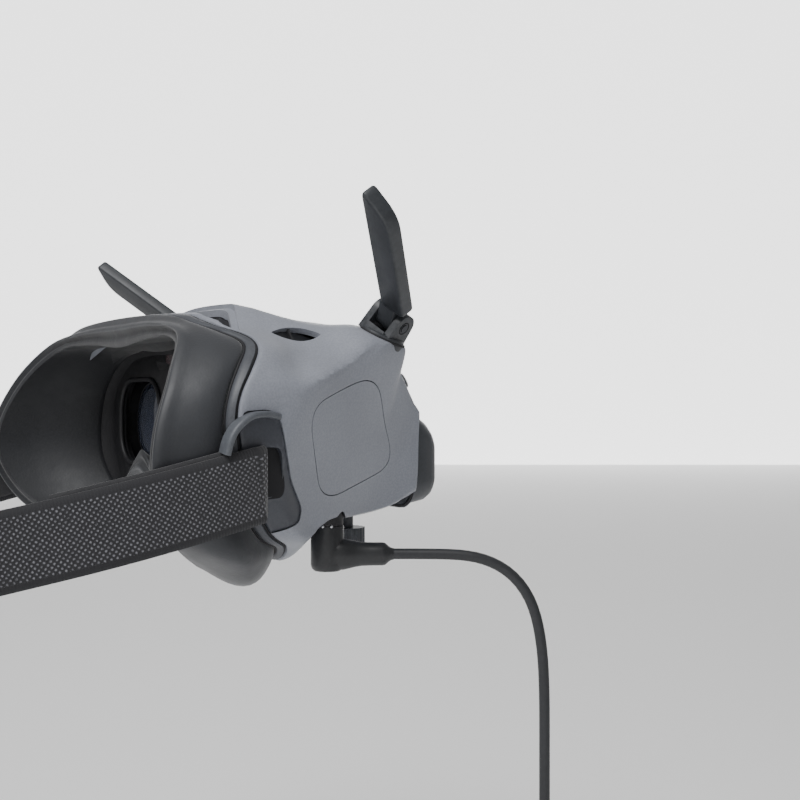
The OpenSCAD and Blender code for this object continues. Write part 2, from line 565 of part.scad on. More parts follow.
module cord_coil() color(dark) translate(coil_at) rotate([0, 0, atan2(away.y, away.x)])
    rotate([90, 0, 0]) rotate_extrude($fn = 96) translate([coil_r, 0])
        union() {
            square([coil_section - 4, coil_section], center = true);
            square([coil_section, coil_section - 4], center = true);
            for (x = [-1, 1], y = [-1, 1]) translate([x, y] * (coil_section / 2 - 2)) circle(2, $fn = 24);
        }
tie_at = coil_at + [0, 0, coil_r];
module cord_tie() color(black) translate(tie_at) rotate([0, 0, atan2(away.y, away.x)]) difference() {
    cube([5, coil_section + 2, coil_section + 2], center = true);
    cube([6, coil_section, coil_section], center = true);
}
far_top = coil_at + [0, 0, -coil_r - coil_section / 2];
module far_plug() color(dark) translate(far_top) {
    translate([0, 0, -8]) cylinder(h = 8, r = 2.6, $fn = 32);
    translate([0, 0, -15]) cylinder(h = 7, r = 3.2, $fn = 32);
    hull() {
        translate([0, 0, -16]) cylinder(h = 1, r = 3.6, $fn = 32);
        translate([0, 0, -27]) cube([15, 9, 1], center = true);
    }
    difference() {
        translate([0, 0, -37]) cube([15, 9, 20], center = true);
        translate([0, 0, -44]) cube([11, 5.4, 10], center = true);
    }
    translate([0, -5.6, -34]) cube([8, 1.6, 22], center = true);
    translate([0, -5, -28]) cube([8, 2, 3], center = true);
}
module far_contacts() color([0.85, 0.68, 0.3]) for (x = [-3.6, -1.2, 1.2, 3.6])
    translate(far_top + [x, 0, -42.5]) cube([1.2, 3, 7], center = true);

front_shell();
front_cap();
rear_frame();
face_pad();
eye_baffle();
top_vent();
vent_mesh_R();
vent_mesh_L();
touch_panel();
strap_anchor_R();
strap_anchor_L();
strap();
strap_fold_R();
strap_fold_L();
antenna_turret_R();
antenna_turret_L();
hinge_pin_R();
hinge_pin_L();
antenna_blade_R();
antenna_blade_L();
antenna_element_R();
antenna_element_L();
inner_frame();
ipd_rails();
carriage_R();
carriage_L();
display_R();
display_L();
lens_tube_R();
lens_tube_L();
eyepiece_R();
eyepiece_L();
dial_stem_R();
dial_stem_L();
dial_R();
dial_L();
proximity_sensor();
main_board();
heat_sink();
fan_housing();
fan_rotor();
link_button();
power_jack();
headphone_jack();
usb_port();
card_slot();
housing_screws();
plug_body();
plug_barrel();
cord_lead();
cord_coil();
cord_tie();
far_plug();
far_contacts();
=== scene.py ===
"""FPV goggles: the looks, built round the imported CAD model. Lists of points are in millimetres."""
import math

import bmesh
import bpy
from mathutils import Matrix, Vector


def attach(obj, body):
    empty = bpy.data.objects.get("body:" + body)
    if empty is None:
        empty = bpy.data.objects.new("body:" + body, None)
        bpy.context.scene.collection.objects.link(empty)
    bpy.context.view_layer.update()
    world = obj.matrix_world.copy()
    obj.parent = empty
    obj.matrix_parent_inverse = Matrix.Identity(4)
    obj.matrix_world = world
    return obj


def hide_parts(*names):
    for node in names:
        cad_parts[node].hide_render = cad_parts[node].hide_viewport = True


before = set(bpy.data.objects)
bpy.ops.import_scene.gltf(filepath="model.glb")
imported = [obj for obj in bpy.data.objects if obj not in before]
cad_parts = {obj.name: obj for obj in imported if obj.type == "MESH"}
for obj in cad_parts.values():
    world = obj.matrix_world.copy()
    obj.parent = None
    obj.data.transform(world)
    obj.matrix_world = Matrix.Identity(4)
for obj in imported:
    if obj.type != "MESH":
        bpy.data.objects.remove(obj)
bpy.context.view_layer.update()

MM = 0.001
HOUSING = "housing"
SIDES = {"R": -1, "L": 1}       # the wearer's right is at -X


# ---------------------------------------------------------------- camera
CAMERA_AT = (-349.5, 104.8, 7.1)
CAMERA_TOWARDS = (0.8406, -0.5417, 0.0)
CAMERA_LENS = 54.4

camera_data = bpy.data.cameras.new("camera")
camera_data.lens = CAMERA_LENS
camera_data.sensor_width = 36
camera_data.clip_start = 0.01
camera = bpy.data.objects.new("camera", camera_data)
camera.location = Vector(CAMERA_AT) * MM
camera.rotation_euler = Vector(CAMERA_TOWARDS).to_track_quat("-Z", "Y").to_euler()
bpy.context.collection.objects.link(camera)
bpy.context.scene.camera = camera


# ---------------------------------------------------------------- curves and small maths
def clamp(v, low=0.0, high=1.0):
    return max(low, min(high, v))


def smooth(edge0, edge1, v):
    t = clamp((v - edge0) / (edge1 - edge0))
    return t * t * (3 - 2 * t)


def soft_min(a, b, k):
    """The lower of two values, rounded over about k where they meet."""
    h = clamp(0.5 + 0.5 * (b - a) / k)
    return b + (a - b) * h - k * h * (1 - h)


def through(a, b, c, d, t):
    return 0.5 * (2 * b + (c - a) * t + (2 * a - 5 * b + 4 * c - d) * t * t
                  + (3 * b - a - 3 * c + d) * t ** 3)


def open_curve(points, steps):
    points = [Vector(p) for p in points]
    last = len(points) - 1
    out = []
    for i in range(last):
        a, d = points[max(i - 1, 0)], points[min(i + 2, last)]
        out += [through(a, points[i], points[i + 1], d, k / steps) for k in range(steps)]
    return out + [points[-1]]


def closed_curve(points, steps):
    points = [Vector(p) for p in points]
    n = len(points)
    return [through(points[i - 1], points[i], points[(i + 1) % n], points[(i + 2) % n], k / steps)
            for i in range(n) for k in range(steps)]


def table_value(table, v):
    """A smooth value from rising (place, value) pairs."""
    if v <= table[0][0]:
        return table[0][1]
    for i in range(len(table) - 1):
        if v <= table[i + 1][0]:
            t = (v - table[i][0]) / (table[i + 1][0] - table[i][0])
            a = table[max(i - 1, 0)][1]
            d = table[min(i + 2, len(table) - 1)][1]
            return through(a, table[i][1], table[i + 1][1], d, t)
    return table[-1][1]


def both_halves(half):
    """A half outline from top to bottom, and its mirror image, as one loop."""
    return list(half) + [(-x, y, z) for x, y, z in half[-2:0:-1]]


def rounded_outline(half_w, z0, z1, radius, steps):
    """Corners of a rounded rectangle as (x, z), anticlockwise seen from -Y."""
    out = []
    for quarter, (sx, sz) in enumerate(((1, 1), (-1, 1), (-1, -1), (1, -1))):
        cx = sx * (half_w - radius)
        cz = z1 - radius if sz > 0 else z0 + radius
        for k in range(steps + 1):
            a = math.radians(90 * (quarter + k / steps))
            out.append((cx + radius * math.cos(a), cz + radius * math.sin(a)))
    return out


def frame_of(origin, x_dir, z_dir):
    z = Vector(z_dir).normalized()
    x = Vector(x_dir)
    x = (x - x.dot(z) * z).normalized()
    y = z.cross(x)
    return Matrix.Translation(Vector(origin)) @ Matrix((x, y, z)).transposed().to_4x4()


def mirrored(side):
    """For the wearer's left, what was drawn on the right is mirrored."""
    return Matrix.Identity(4) if side == "R" else Matrix.Scale(-1, 4, (1, 0, 0))


# ---------------------------------------------------------------- mesh building
def new_piece(name, bm, transform=None):
    """A Blender object in metres from a bmesh in millimetres."""
    if transform is not None:
        bm.transform(transform)
        if transform.determinant() < 0:
            bmesh.ops.reverse_faces(bm, faces=bm.faces)
    bm.transform(Matrix.Scale(MM, 4))
    mesh = bpy.data.meshes.new(name)
    bm.to_mesh(mesh)
    bm.free()
    obj = bpy.data.objects.new(name, mesh)
    bpy.context.collection.objects.link(obj)
    return obj


def skin(bm, rings, close_ring=True, close_rows=False, cap_first=False, cap_last=False):
    """Quads over rings of equally many points; returns the rings' vertices."""
    rows = [[bm.verts.new(p) for p in ring] for ring in rings]
    n = len(rows[0])
    count = len(rows) if close_rows else len(rows) - 1
    for i in range(count):
        a, b = rows[i], rows[(i + 1) % len(rows)]
        for j in range(n if close_ring else n - 1):
            k = (j + 1) % n
            bm.faces.new((a[j], b[j], b[k], a[k]))
    if cap_first:
        bm.faces.new(rows[0])
    if cap_last:
        bm.faces.new(list(reversed(rows[-1])))
    return rows


def out_faces(bm):
    bmesh.ops.recalc_face_normals(bm, faces=bm.faces)


def add_modifier(obj, kind, **settings):
    modifier = obj.modifiers.new(kind.lower(), kind)
    for key, value in settings.items():
        setattr(modifier, key, value)
    return modifier


def apply_modifiers(obj):
    """Bakes the piece's modifiers into its mesh."""
    depsgraph = bpy.context.evaluated_depsgraph_get()
    mesh = bpy.data.meshes.new_from_object(obj.evaluated_get(depsgraph))
    obj.modifiers.clear()
    obj.data = mesh


def carve(obj, cutters):
    """Cuts closed pieces out of obj and removes them."""
    for cutter in cutters:
        add_modifier(obj, "BOOLEAN", operation="DIFFERENCE", solver="EXACT", object=cutter)
        apply_modifiers(obj)
        bpy.data.objects.remove(cutter)


def shade(obj, angle=35.0):
    """Smooth faces, with sharp edges past the angle."""
    bm = bmesh.new()
    bm.from_mesh(obj.data)
    for face in bm.faces:
        face.smooth = True
    for edge in bm.edges:
        edge.smooth = not (len(edge.link_faces) == 2
                           and edge.calc_face_angle(0.0) > math.radians(angle))
    bm.to_mesh(obj.data)
    bm.free()


def dress(obj, body, material, nodes=(), angle=35.0):
    """Gives a piece its finish, its body and the CAD nodes it stands for."""
    shade(obj, angle)
    obj.data.materials.clear()
    obj.data.materials.append(material)
    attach(obj, body)
    if nodes:
        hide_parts(*nodes)
    return obj


def prism(bm, outline, y0, y1):
    """A closed prism along Y over an outline of (x, z)."""
    skin(bm, [[(x, y0, z) for x, z in outline], [(x, y1, z) for x, z in outline]],
         cap_first=True, cap_last=True)


def solid_prism(name, outline, z0, z1, transform):
    """A closed prism along its own Z over an outline of (x, y)."""
    bm = bmesh.new()
    skin(bm, [[(x, y, z0) for x, y in outline], [(x, y, z1) for x, y in outline]],
         cap_first=True, cap_last=True)
    out_faces(bm)
    return new_piece(name, bm, transform)


def turned(bm, profile, steps=48, transform=None):
    """A solid of revolution about Z from a profile of (radius, z), both ends closed."""
    rings = [[(r * math.cos(2 * math.pi * k / steps), r * math.sin(2 * math.pi * k / steps), z)
              for k in range(steps)] for r, z in profile]
    rows = skin(bm, rings, cap_first=True, cap_last=True)
    if transform is not None:
        bmesh.ops.transform(bm, matrix=transform, verts=[v for row in rows for v in row])


def lofted(name, rings, transform=None, closed=False):
    """A piece over rings, joined last to first when closed, else capped at both ends."""
    bm = bmesh.new()
    skin(bm, rings, close_rows=closed, cap_first=not closed, cap_last=not closed)
    out_faces(bm)
    return new_piece(name, bm, transform)


def lathed(name, profile, steps, placed=None, transform=None):
    """A turned piece, put in its place and then moved or mirrored."""
    bm = bmesh.new()
    turned(bm, profile, steps, placed)
    out_faces(bm)
    return new_piece(name, bm, transform)


def circle(radius, steps=32):
    return [(radius * math.cos(2 * math.pi * k / steps), radius * math.sin(2 * math.pi * k / steps))
            for k in range(steps)]


def box_cutter(name, centre, size):
    bm = bmesh.new()
    bmesh.ops.create_cube(bm, size=1)
    bmesh.ops.scale(bm, vec=Vector(size), verts=bm.verts)
    bmesh.ops.translate(bm, vec=Vector(centre), verts=bm.verts)
    return new_piece(name, bm)


# ---------------------------------------------------------------- materials
class Nodes:
    """A material's node tree, with short ways to add what the finishes below share."""

    def __init__(self, name):
        self.material = bpy.data.materials.new(name)
        self.material.use_nodes = True
        self.tree = self.material.node_tree
        self.tree.nodes.clear()
        self.output = self.add("ShaderNodeOutputMaterial")
        self.shader = self.add("ShaderNodeBsdfPrincipled")
        self.link(self.shader, "BSDF", self.output, "Surface")
        self.place = self.add("ShaderNodeTexCoord")

    def add(self, kind, **settings):
        node = self.tree.nodes.new(kind)
        for key, value in settings.items():
            setattr(node, key, value)
        return node

    def link(self, a, out, b, into):
        self.tree.links.new(a.outputs[out], b.inputs[into])

    def noise(self, size_mm, detail=2.0, roughness=0.5):
        """Noise whose grains are about size_mm across."""
        node = self.add("ShaderNodeTexNoise")
        node.inputs["Scale"].default_value = 1 / (size_mm * MM)
        node.inputs["Detail"].default_value = detail
        node.inputs["Roughness"].default_value = roughness
        self.link(self.place, "Object", node, "Vector")
        return node

    def ramp(self, source, out, stops):
        node = self.add("ShaderNodeValToRGB")
        while len(node.color_ramp.elements) < len(stops):
            node.color_ramp.elements.new(0.5)
        for element, (at, value) in zip(node.color_ramp.elements, stops):
            element.position = at
            element.color = (value, value, value, 1) if isinstance(value, float) else (*value, 1)
        self.link(source, out, node, "Fac")
        return node

    def math(self, operation, a, b=None, out_a="Value", out_b="Value"):
        node = self.add("ShaderNodeMath", operation=operation)
        for socket, value, out in ((0, a, out_a), (1, b, out_b)):
            if value is None:
                continue
            if isinstance(value, (int, float)):
                node.inputs[socket].default_value = value
            else:
                self.tree.links.new(value.outputs[out], node.inputs[socket])
        return node

    def bump(self, source, out, height_mm, before=None):
        node = self.add("ShaderNodeBump")
        node.inputs["Distance"].default_value = height_mm * MM
        node.inputs["Strength"].default_value = 1.0
        self.link(source, out, node, "Height")
        if before is not None:
            self.link(before, "Normal", node, "Normal")
        return node

    def set(self, **values):
        for key, value in values.items():
            self.shader.inputs[key.replace("_", " ")].default_value = value


def tones(colour, spread):
    return (tuple(clamp(c * (1 - spread)) for c in colour), tuple(clamp(c * (1 + spread)) for c in colour))


def moulded(name, colour, roughness, grain_mm, grain_height, wear=0.25, sheen=0.0, patch_mm=18.0):
    """Moulded plastic: fine spark grain, slow tone and gloss changes, paler worn edges."""
    m = Nodes(name)
    patches = m.noise(patch_mm, 3.0)
    low, high = tones(colour, 0.07)
    tone = m.ramp(patches, "Fac", ((0.3, low), (0.7, high)))
    speck = m.noise(grain_mm * 1.7, 1.0)
    speck_tone = m.ramp(speck, "Fac", ((0.35, 0.93), (0.65, 1.07)))
    speckled = m.add("ShaderNodeMixRGB", blend_type="MULTIPLY")
    speckled.inputs["Fac"].default_value = 1.0
    m.link(tone, "Color", speckled, "Color1")
    m.link(speck_tone, "Color", speckled, "Color2")
    geometry = m.add("ShaderNodeNewGeometry")
    edge = m.ramp(geometry, "Pointiness", ((0.51, 0.0), (0.60, 1.0)))
    scuff = m.ramp(m.noise(1.6, 4.0), "Fac", ((0.45, 0.0), (0.65, 1.0)))
    worn = m.math("MULTIPLY", edge, scuff, "Color", "Color")
    worn = m.math("MULTIPLY", worn, wear)
    final = m.add("ShaderNodeMixRGB")
    final.inputs["Color2"].default_value = (*[clamp(c * 1.8 + 0.05) for c in colour], 1)
    m.link(worn, "Value", final, "Fac")
    m.link(speckled, "Color", final, "Color1")
    m.link(final, "Color", m.shader, "Base Color")
    gloss = m.ramp(m.noise(9.0, 3.0), "Fac", ((0.3, roughness - 0.05), (0.7, roughness + 0.05)))
    m.link(gloss, "Color", m.shader, "Roughness")
    m.link(m.bump(m.noise(grain_mm, 2.0), "Fac", grain_height), "Normal", m.shader, "Normal")
    m.set(IOR=1.48)
    if sheen:
        m.set(Sheen_Weight=sheen, Sheen_Roughness=0.5)
    return m.material


def leatherette(name, colour):
    """Soft skin over foam: fine pebbles, faint creases and a dull sheen."""
    m = Nodes(name)
    low, high = tones(colour, 0.10)
    tone = m.ramp(m.noise(14.0, 4.0), "Fac", ((0.3, low), (0.7, high)))
    m.link(tone, "Color", m.shader, "Base Color")
    pebbles = m.add("ShaderNodeTexVoronoi", feature="SMOOTH_F1")
    pebbles.inputs["Scale"].default_value = 1 / (0.55 * MM)
    m.link(m.place, "Object", pebbles, "Vector")
    skin_bump = m.bump(pebbles, "Distance", 0.02)
    creases = m.bump(m.noise(2.4, 4.0, 0.6), "Fac", 0.05, skin_bump)
    m.link(creases, "Normal", m.shader, "Normal")
    gloss = m.ramp(m.noise(6.0, 3.0), "Fac", ((0.3, 0.50), (0.7, 0.62)))
    m.link(gloss, "Color", m.shader, "Roughness")
    m.set(Sheen_Weight=0.25, Sheen_Roughness=0.4)
    return m.material


def metal(name, colour, roughness, brushed_mm=0.25):
    m = Nodes(name)
    low, high = tones(colour, 0.08)
    streaks = m.noise(brushed_mm, 3.0)
    stretch = m.add("ShaderNodeMapping")
    stretch.inputs["Scale"].default_value = (1.0, 0.08, 1.0)
    m.link(m.place, "Object", stretch, "Vector")
    m.link(stretch, "Vector", streaks, "Vector")
    tone = m.ramp(streaks, "Fac", ((0.35, low), (0.65, high)))
    m.link(tone, "Color", m.shader, "Base Color")
    gloss = m.ramp(streaks, "Fac", ((0.3, roughness - 0.08), (0.7, roughness + 0.08)))
    m.link(gloss, "Color", m.shader, "Roughness")
    m.link(m.bump(streaks, "Fac", 0.004), "Normal", m.shader, "Normal")
    m.set(Metallic=1.0)
    return m.material


def webbing(name, dark_colour, light_colour, pitch_mm):
    """Open weave: paler knots on a dark ground, placed by the strap's own UVs in millimetres."""
    m = Nodes(name)
    uv = m.add("ShaderNodeUVMap", uv_map="weave")
    split = m.add("ShaderNodeSeparateXYZ")
    m.link(uv, "UV", split, "Vector")
    waves = []
    for sign in (1, -1):
        across = m.math("MULTIPLY", split, math.pi * sign / pitch_mm, "Y")
        along = m.math("MULTIPLY", split, math.pi / pitch_mm, "X")
        waves.append(m.math("SINE", m.math("ADD", along, across), None))
    knots = m.math("MULTIPLY", waves[0], waves[1])
    knots = m.math("ABSOLUTE", knots, None)
    fuzz = m.noise(0.5, 3.0)
    knots = m.math("MULTIPLY", knots, m.ramp(fuzz, "Fac", ((0.3, 0.55), (0.6, 1.0))), "Value", "Color")
    from_middle = m.math("ABSOLUTE", split, None, "Y")
    knots = m.math("MULTIPLY", knots, m.math("LESS_THAN", from_middle, STRAP_W / 2 - SELVEDGE))
    tone = m.ramp(knots, "Value", ((0.45, dark_colour), (0.85, light_colour)))
    m.link(tone, "Color", m.shader, "Base Color")
    ribs = m.math("SINE", m.math("MULTIPLY", split, 2 * math.pi / 0.8, "X"), None)
    height = m.math("ADD", m.math("MULTIPLY", knots, 1.5), m.math("MULTIPLY", ribs, 0.2))
    weave = m.bump(height, "Value", 0.12)
    m.link(m.bump(m.noise(0.25, 2.0), "Fac", 0.03, weave), "Normal", m.shader, "Normal")
    m.set(Roughness=0.85, Sheen_Weight=0.35, Sheen_Roughness=0.5)
    return m.material


def glass(name, colour):
    m = Nodes(name)
    smear = m.ramp(m.noise(7.0, 3.0), "Fac", ((0.4, 0.02), (0.7, 0.09)))
    m.link(smear, "Color", m.shader, "Roughness")
    tone = m.ramp(m.noise(20.0, 2.0), "Fac", ((0.3, tones(colour, 0.1)[0]), (0.7, colour)))
    m.link(tone, "Color", m.shader, "Base Color")
    m.set(Transmission_Weight=0.3, IOR=1.5, Coat_Weight=0.9, Coat_Roughness=0.03)
    return m.material


def circuit(name, colour):
    """Lacquered board with copper tracks and small dark parts."""
    m = Nodes(name)
    bricks = m.add("ShaderNodeTexBrick")
    bricks.inputs["Scale"].default_value = 1 / (9.0 * MM)
    bricks.inputs["Color1"].default_value = (*colour, 1)
    bricks.inputs["Color2"].default_value = (*[c * 1.3 for c in colour], 1)
    bricks.inputs["Mortar"].default_value = (0.30, 0.22, 0.06, 1)
    bricks.inputs["Mortar Size"].default_value = 0.03
    turn = m.add("ShaderNodeMapping")
    turn.inputs["Rotation"].default_value = (math.pi / 2, 0, 0)
    m.link(m.place, "Object", turn, "Vector")
    m.link(turn, "Vector", bricks, "Vector")
    m.link(bricks, "Color", m.shader, "Base Color")
    m.link(m.bump(bricks, "Fac", 0.05), "Normal", m.shader, "Normal")
    m.set(Roughness=0.35, Coat_Weight=0.4)
    return m.material


STRAP_W = 19.0
SELVEDGE = 1.9
WEAVE_PITCH = 1.45

GREY = moulded("shell_grey", (0.235, 0.248, 0.285), 0.42, 0.30, 0.010, wear=0.15, sheen=0.1)
COVER = moulded("cover_dark", (0.040, 0.044, 0.051), 0.44, 0.35, 0.014, wear=0.25)
BAND = moulded("band_grey", (0.060, 0.064, 0.074), 0.50, 0.35, 0.010, wear=0.15)
ANCHOR = moulded("anchor_dark", (0.046, 0.050, 0.062), 0.40, 0.35, 0.012, wear=0.3)
TAB = moulded("tab_grey", (0.085, 0.092, 0.105), 0.48, 0.35, 0.010, wear=0.15)
BLADE = moulded("blade_dark", (0.030, 0.033, 0.038), 0.46, 0.40, 0.016, wear=0.25)
BLACK = moulded("inner_black", (0.010, 0.010, 0.012), 0.55, 0.40, 0.02, wear=0.1)
PLUG = moulded("plug_black", (0.018, 0.019, 0.021), 0.38, 0.30, 0.012, wear=0.2)
CORD = moulded("cord_jacket", (0.020, 0.021, 0.024), 0.48, 0.45, 0.012, wear=0.1)
# Near-black for the cords, rings and plates set into seams and recesses: painted shade.
SEAM_SHADE = moulded("groove_painted_shade", (0.008, 0.008, 0.010), 0.7, 0.4, 0.01, wear=0.0)
PAD = leatherette("pad_skin", (0.024, 0.026, 0.031))
# A darker copy of the pad skin for the cushion's inner faces: painted shade inside the cushion.
PAD_INNER_SHADE = leatherette("pad_inner_shade", (0.011, 0.012, 0.015))
STEEL = metal("steel", (0.62, 0.63, 0.66), 0.32)
COPPER = metal("copper_foil", (0.72, 0.43, 0.20), 0.35)
GOLD = metal("gold_plate", (0.86, 0.64, 0.28), 0.28)
MESH = metal("mesh_black", (0.060, 0.062, 0.068), 0.45)
LENS = glass("lens_glass", (0.05, 0.06, 0.09))
SCREEN = moulded("display_glass", (0.006, 0.008, 0.016), 0.12, 2.0, 0.001, wear=0.0)
SENSOR = moulded("sensor_window", (0.030, 0.010, 0.014), 0.15, 2.0, 0.001, wear=0.0)
BOARD = circuit("board_green", (0.012, 0.075, 0.040))
STRAP = webbing("strap_weave", (0.011, 0.011, 0.014), (0.17, 0.17, 0.19), WEAVE_PITCH)
HOOK = moulded("hook_tape", (0.022, 0.022, 0.025), 0.85, 0.5, 0.12, wear=0.0, sheen=0.5)

CAD_FINISHES = {
    "inner_frame": BLACK, "ipd_rails": STEEL, "carriage": BLACK, "display": SCREEN, "lens_tube": BLACK,
    "dial_stem": COVER, "dial": COVER, "main_board": BOARD, "heat_sink": STEEL, "fan_housing": BLACK,
    "fan_rotor": COVER, "hinge_pin": MESH, "antenna_element": COPPER, "proximity_sensor": SENSOR,
    "power_jack": BLACK, "headphone_jack": BLACK, "usb_port": STEEL, "card_slot": STEEL,
    "housing_screws": STEEL, "plug_barrel": STEEL, "far_contacts": GOLD}
for node_name, node_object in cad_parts.items():
    plain_name = node_name[:-2] if node_name[-2:] in ("_R", "_L") else node_name
    if plain_name in CAD_FINISHES:
        node_object.data.materials.clear()
        node_object.data.materials.append(CAD_FINISHES[plain_name])


# ---------------------------------------------------------------- power lead
PLUG_AT = (-57.6, -59.4)
PLUG_TOP = -27.6
LEG_Z = -35.5
LEG_DIR = Vector((-9, -15, 0)).normalized()
CORD_D = 3.0
CORD_ROUTE = [(-66.6, -74.4, -35.5), (-70.5, -80.5, -35.5), (-74.4, -86.3, -35.5), (-78.3, -92.3, -35.8),
              (-82.1, -98, -37.5), (-85.5, -103.2, -41.5), (-88, -107, -48), (-89, -109, -56),
              (-89.5, -110, -65), (-90, -110, -75), (-90, -110, -85), (-90, -110, -95),
              (-90, -110, -105), (-90, -110, -118)]
COIL_AT = (-90, -110, -137.5)
COIL_R = 17.0
COIL_TURNS = 9
COIL_STEPS = 20


def coil_points():
    """Turns side by side and on each other, three by three, in the plane of the plug's leg."""
    ring = frame_of(COIL_AT, LEG_DIR, (0, 0, 1))
    points = []
    pitch = CORD_D * 1.02
    for k in range(COIL_TURNS * COIL_STEPS + COIL_STEPS // 2 + 1):
        turn = k / COIL_STEPS
        angle = math.pi / 2 - 2 * math.pi * turn
        layer = min(int(turn) // 3, 2)
        across = int(turn) % 3
        blend = smooth(0.8, 1.0, turn % 1)
        following = int(turn) + 1
        next_layer, next_across = min(following // 3, 2), following % 3
        if int(turn) >= COIL_TURNS - 1:
            next_layer, next_across = layer, across
        radius = COIL_R + pitch * ((1 - layer) * (1 - blend) + (1 - next_layer) * blend)
        offset = pitch * ((across - 1) * (1 - blend) + (next_across - 1) * blend)
        local = Vector((radius * math.cos(angle), offset, radius * math.sin(angle)))
        points.append(ring @ local)
    return points


def spline_piece(name, points, diameter):
    curve = bpy.data.curves.new(name, "CURVE")
    curve.dimensions = "3D"
    curve.bevel_depth = diameter / 2 * MM
    curve.bevel_resolution = 4
    curve.use_fill_caps = True
    line = curve.splines.new("NURBS")
    line.points.add(len(points) - 1)
    for point, place in zip(line.points, points):
        point.co = (*(Vector(place) * MM), 1)
    line.order_u = 4
    line.use_endpoint_u = True
    curve.resolution_u = 3
    obj = bpy.data.objects.new(name, curve)
    bpy.context.collection.objects.link(obj)
    return obj


FAR_TOP = Vector(COIL_AT) + Vector((0, 0, -COIL_R - 4.5))
cord_places = [Vector(p) for p in CORD_ROUTE] + coil_points()[2:]
cord_places += [FAR_TOP + Vector((-2.5, 0, 1.2)), FAR_TOP + Vector((0, 0, -3)), FAR_TOP + Vector((0, 0, -7))]
cord = spline_piece("power_cord", cord_places, CORD_D)
cord.data.materials.append(CORD)
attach(cord, HOUSING)
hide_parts("cord_lead", "cord_coil")


# ---------------------------------------------------------------- outlines round the middle line
LIP = [(0, -20, 29), (32, -19, 28.5), (57, -16.5, 25), (70, -9.5, 14), (75.5, -3.5, -1), (74.5, -3.5, -14),
       (66, -11, -28), (51, -24, -37), (35, -27, -35), (21, -27, -25), (0, -27, -14)]
PAD_FOOT = [(0, -21.5, 31.2), (35, -21.5, 30.4), (50, -23.5, 27.4), (60, -27.6, 24.4), (66, -29.6, 22.2),
            (70.5, -28.2, 19.6), (74.5, -24.6, 15.4), (77, -21.2, 9.5), (78, -19.4, 3), (78, -19.6, -3),
            (76.5, -21.5, -14), (72, -31, -27.4), (63, -40.7, -32.1), (50, -45, -36), (32, -45, -34),
            (17, -41, -25), (0, -37, -18.4)]
RING_FOOT = [(0, -26, 31.6), (36, -26, 30.8), (47, -26.4, 28.8), (55, -28, 26.4), (61.5, -31, 24.6),
             (67, -32.3, 22.5), (72.4, -30.8, 19.6), (76.8, -26.8, 14.6), (78.8, -23.2, 9),
             (79.4, -21.8, 3.5), (79.3, -22.4, -3), (78, -25, -14), (72, -34, -26.6), (63, -43.5, -32),
             (50, -47, -37),
             (31, -47, -34), (17, -43, -25), (0, -40, -19)]
BOWL_FOOT = [(0, -36, 23), (30, -36, 23), (48, -36, 20), (60, -35, 11), (63, -34, -1), (61, -34, -12),
             (54, -36, -22), (45, -38, -27), (34, -38, -25), (24, -38, -17), (0, -37, -9)]
AROUND = 320
ANGLES = [2 * math.pi * k / AROUND - math.pi for k in range(AROUND)]


def by_angle(half):
    """Rising (angle, radius, y) triples of a smooth loop through a half outline and its mirror image."""
    loop = closed_curve(both_halves(half), 24)
    triples = sorted((math.atan2(p.z, p.x), math.hypot(p.x, p.z), p.y) for p in loop)
    first, last = triples[0], triples[-1]
    turn = 2 * math.pi
    return [(last[0] - turn, *last[1:])] + triples + [(first[0] + turn, *first[1:])]


def loop_ring(triples, offset=0.0, back=0.0):
    """The loop as AROUND points, drawn out from the middle line by offset and to the rear by back."""
    points = []
    i = 0
    for angle in ANGLES:
        while triples[i + 1][0] < angle:
            i += 1
        (a0, r0, y0), (a1, r1, y1) = triples[i], triples[i + 1]
        t = (angle - a0) / max(a1 - a0, 1e-9)
        r = r0 + (r1 - r0) * t + offset
        points.append(Vector((r * math.cos(angle), y0 + (y1 - y0) * t + back, r * math.sin(angle))))
    return points


def mix(ring_a, ring_b, t, offset=0.0, back=0.0):
    out = []
    for a, b in zip(ring_a, ring_b):
        p = a.lerp(b, t)
        r = math.hypot(p.x, p.z)
        out.append(Vector((p.x * (1 + offset / r), p.y + back, p.z * (1 + offset / r))))
    return out


lip = by_angle(LIP)
pad_foot = by_angle(PAD_FOOT)
ring_foot = by_angle(RING_FOOT)
bowl_foot = by_angle(BOWL_FOOT)


# ---------------------------------------------------------------- grey shell
FACE_Y = -90.0
COVER_HALF = 54.0
COVER_TOP = 4.0
COVER_LOW = -24.0
COVER_R = 7.0
HALF_W = ((-90, 63), (-82, 71.5), (-74, 78.5), (-66, 81.5), (-57, 80.5), (-50, 80), (-40, 79.4), (-26, 79.4))
TOP_Z = ((-90, 10.5), (-87, 15.5), (-82, 22.5), (-77, 27.6), (-71, 30.4), (-66, 30.9), (-60, 31.0),
         (-54, 31.0), (-50, 31.3), (-45, 32.3), (-38, 34.1), (-33, 34.0), (-26, 33.6))
LOW_Z = ((-90, 25.6), (-82, 26.8), (-74, 27.6), (-66, 28.4), (-57, 29.4), (-50, 31.5), (-44, 33.2),
         (-38, 33.5), (-26, 32))
TOP_POWER = ((-90, 2.2), (-74, 2.5), (-60, 3.2), (-50, 3.9), (-40, 4.6), (-26, 4.8))
SHOULDER = ((-90, 70), (-63, 71), (-54, 70), (-46, 68.8), (-40, 68.5), (-31, 71), (-26, 72))
SHOULDER_SLOPE = 0.72
LOW_POWER = ((-90, 3.6), (-58, 3.6), (-50, 5), (-42, 7), (-26, 7))
FACET = (78.0, 0.46, 0.25)          # |x| at y = -40 and z = 0, and its growth with y and z
FACET_OUT = (-1, -0.46, -0.25)
HINGE = Vector((-67.5, -74, 29.5))
TURRET_DIR = Vector((-0.33, -0.29, 0.9)).normalized()
NECK_DROP = 5.6
NECK_R = 6.6


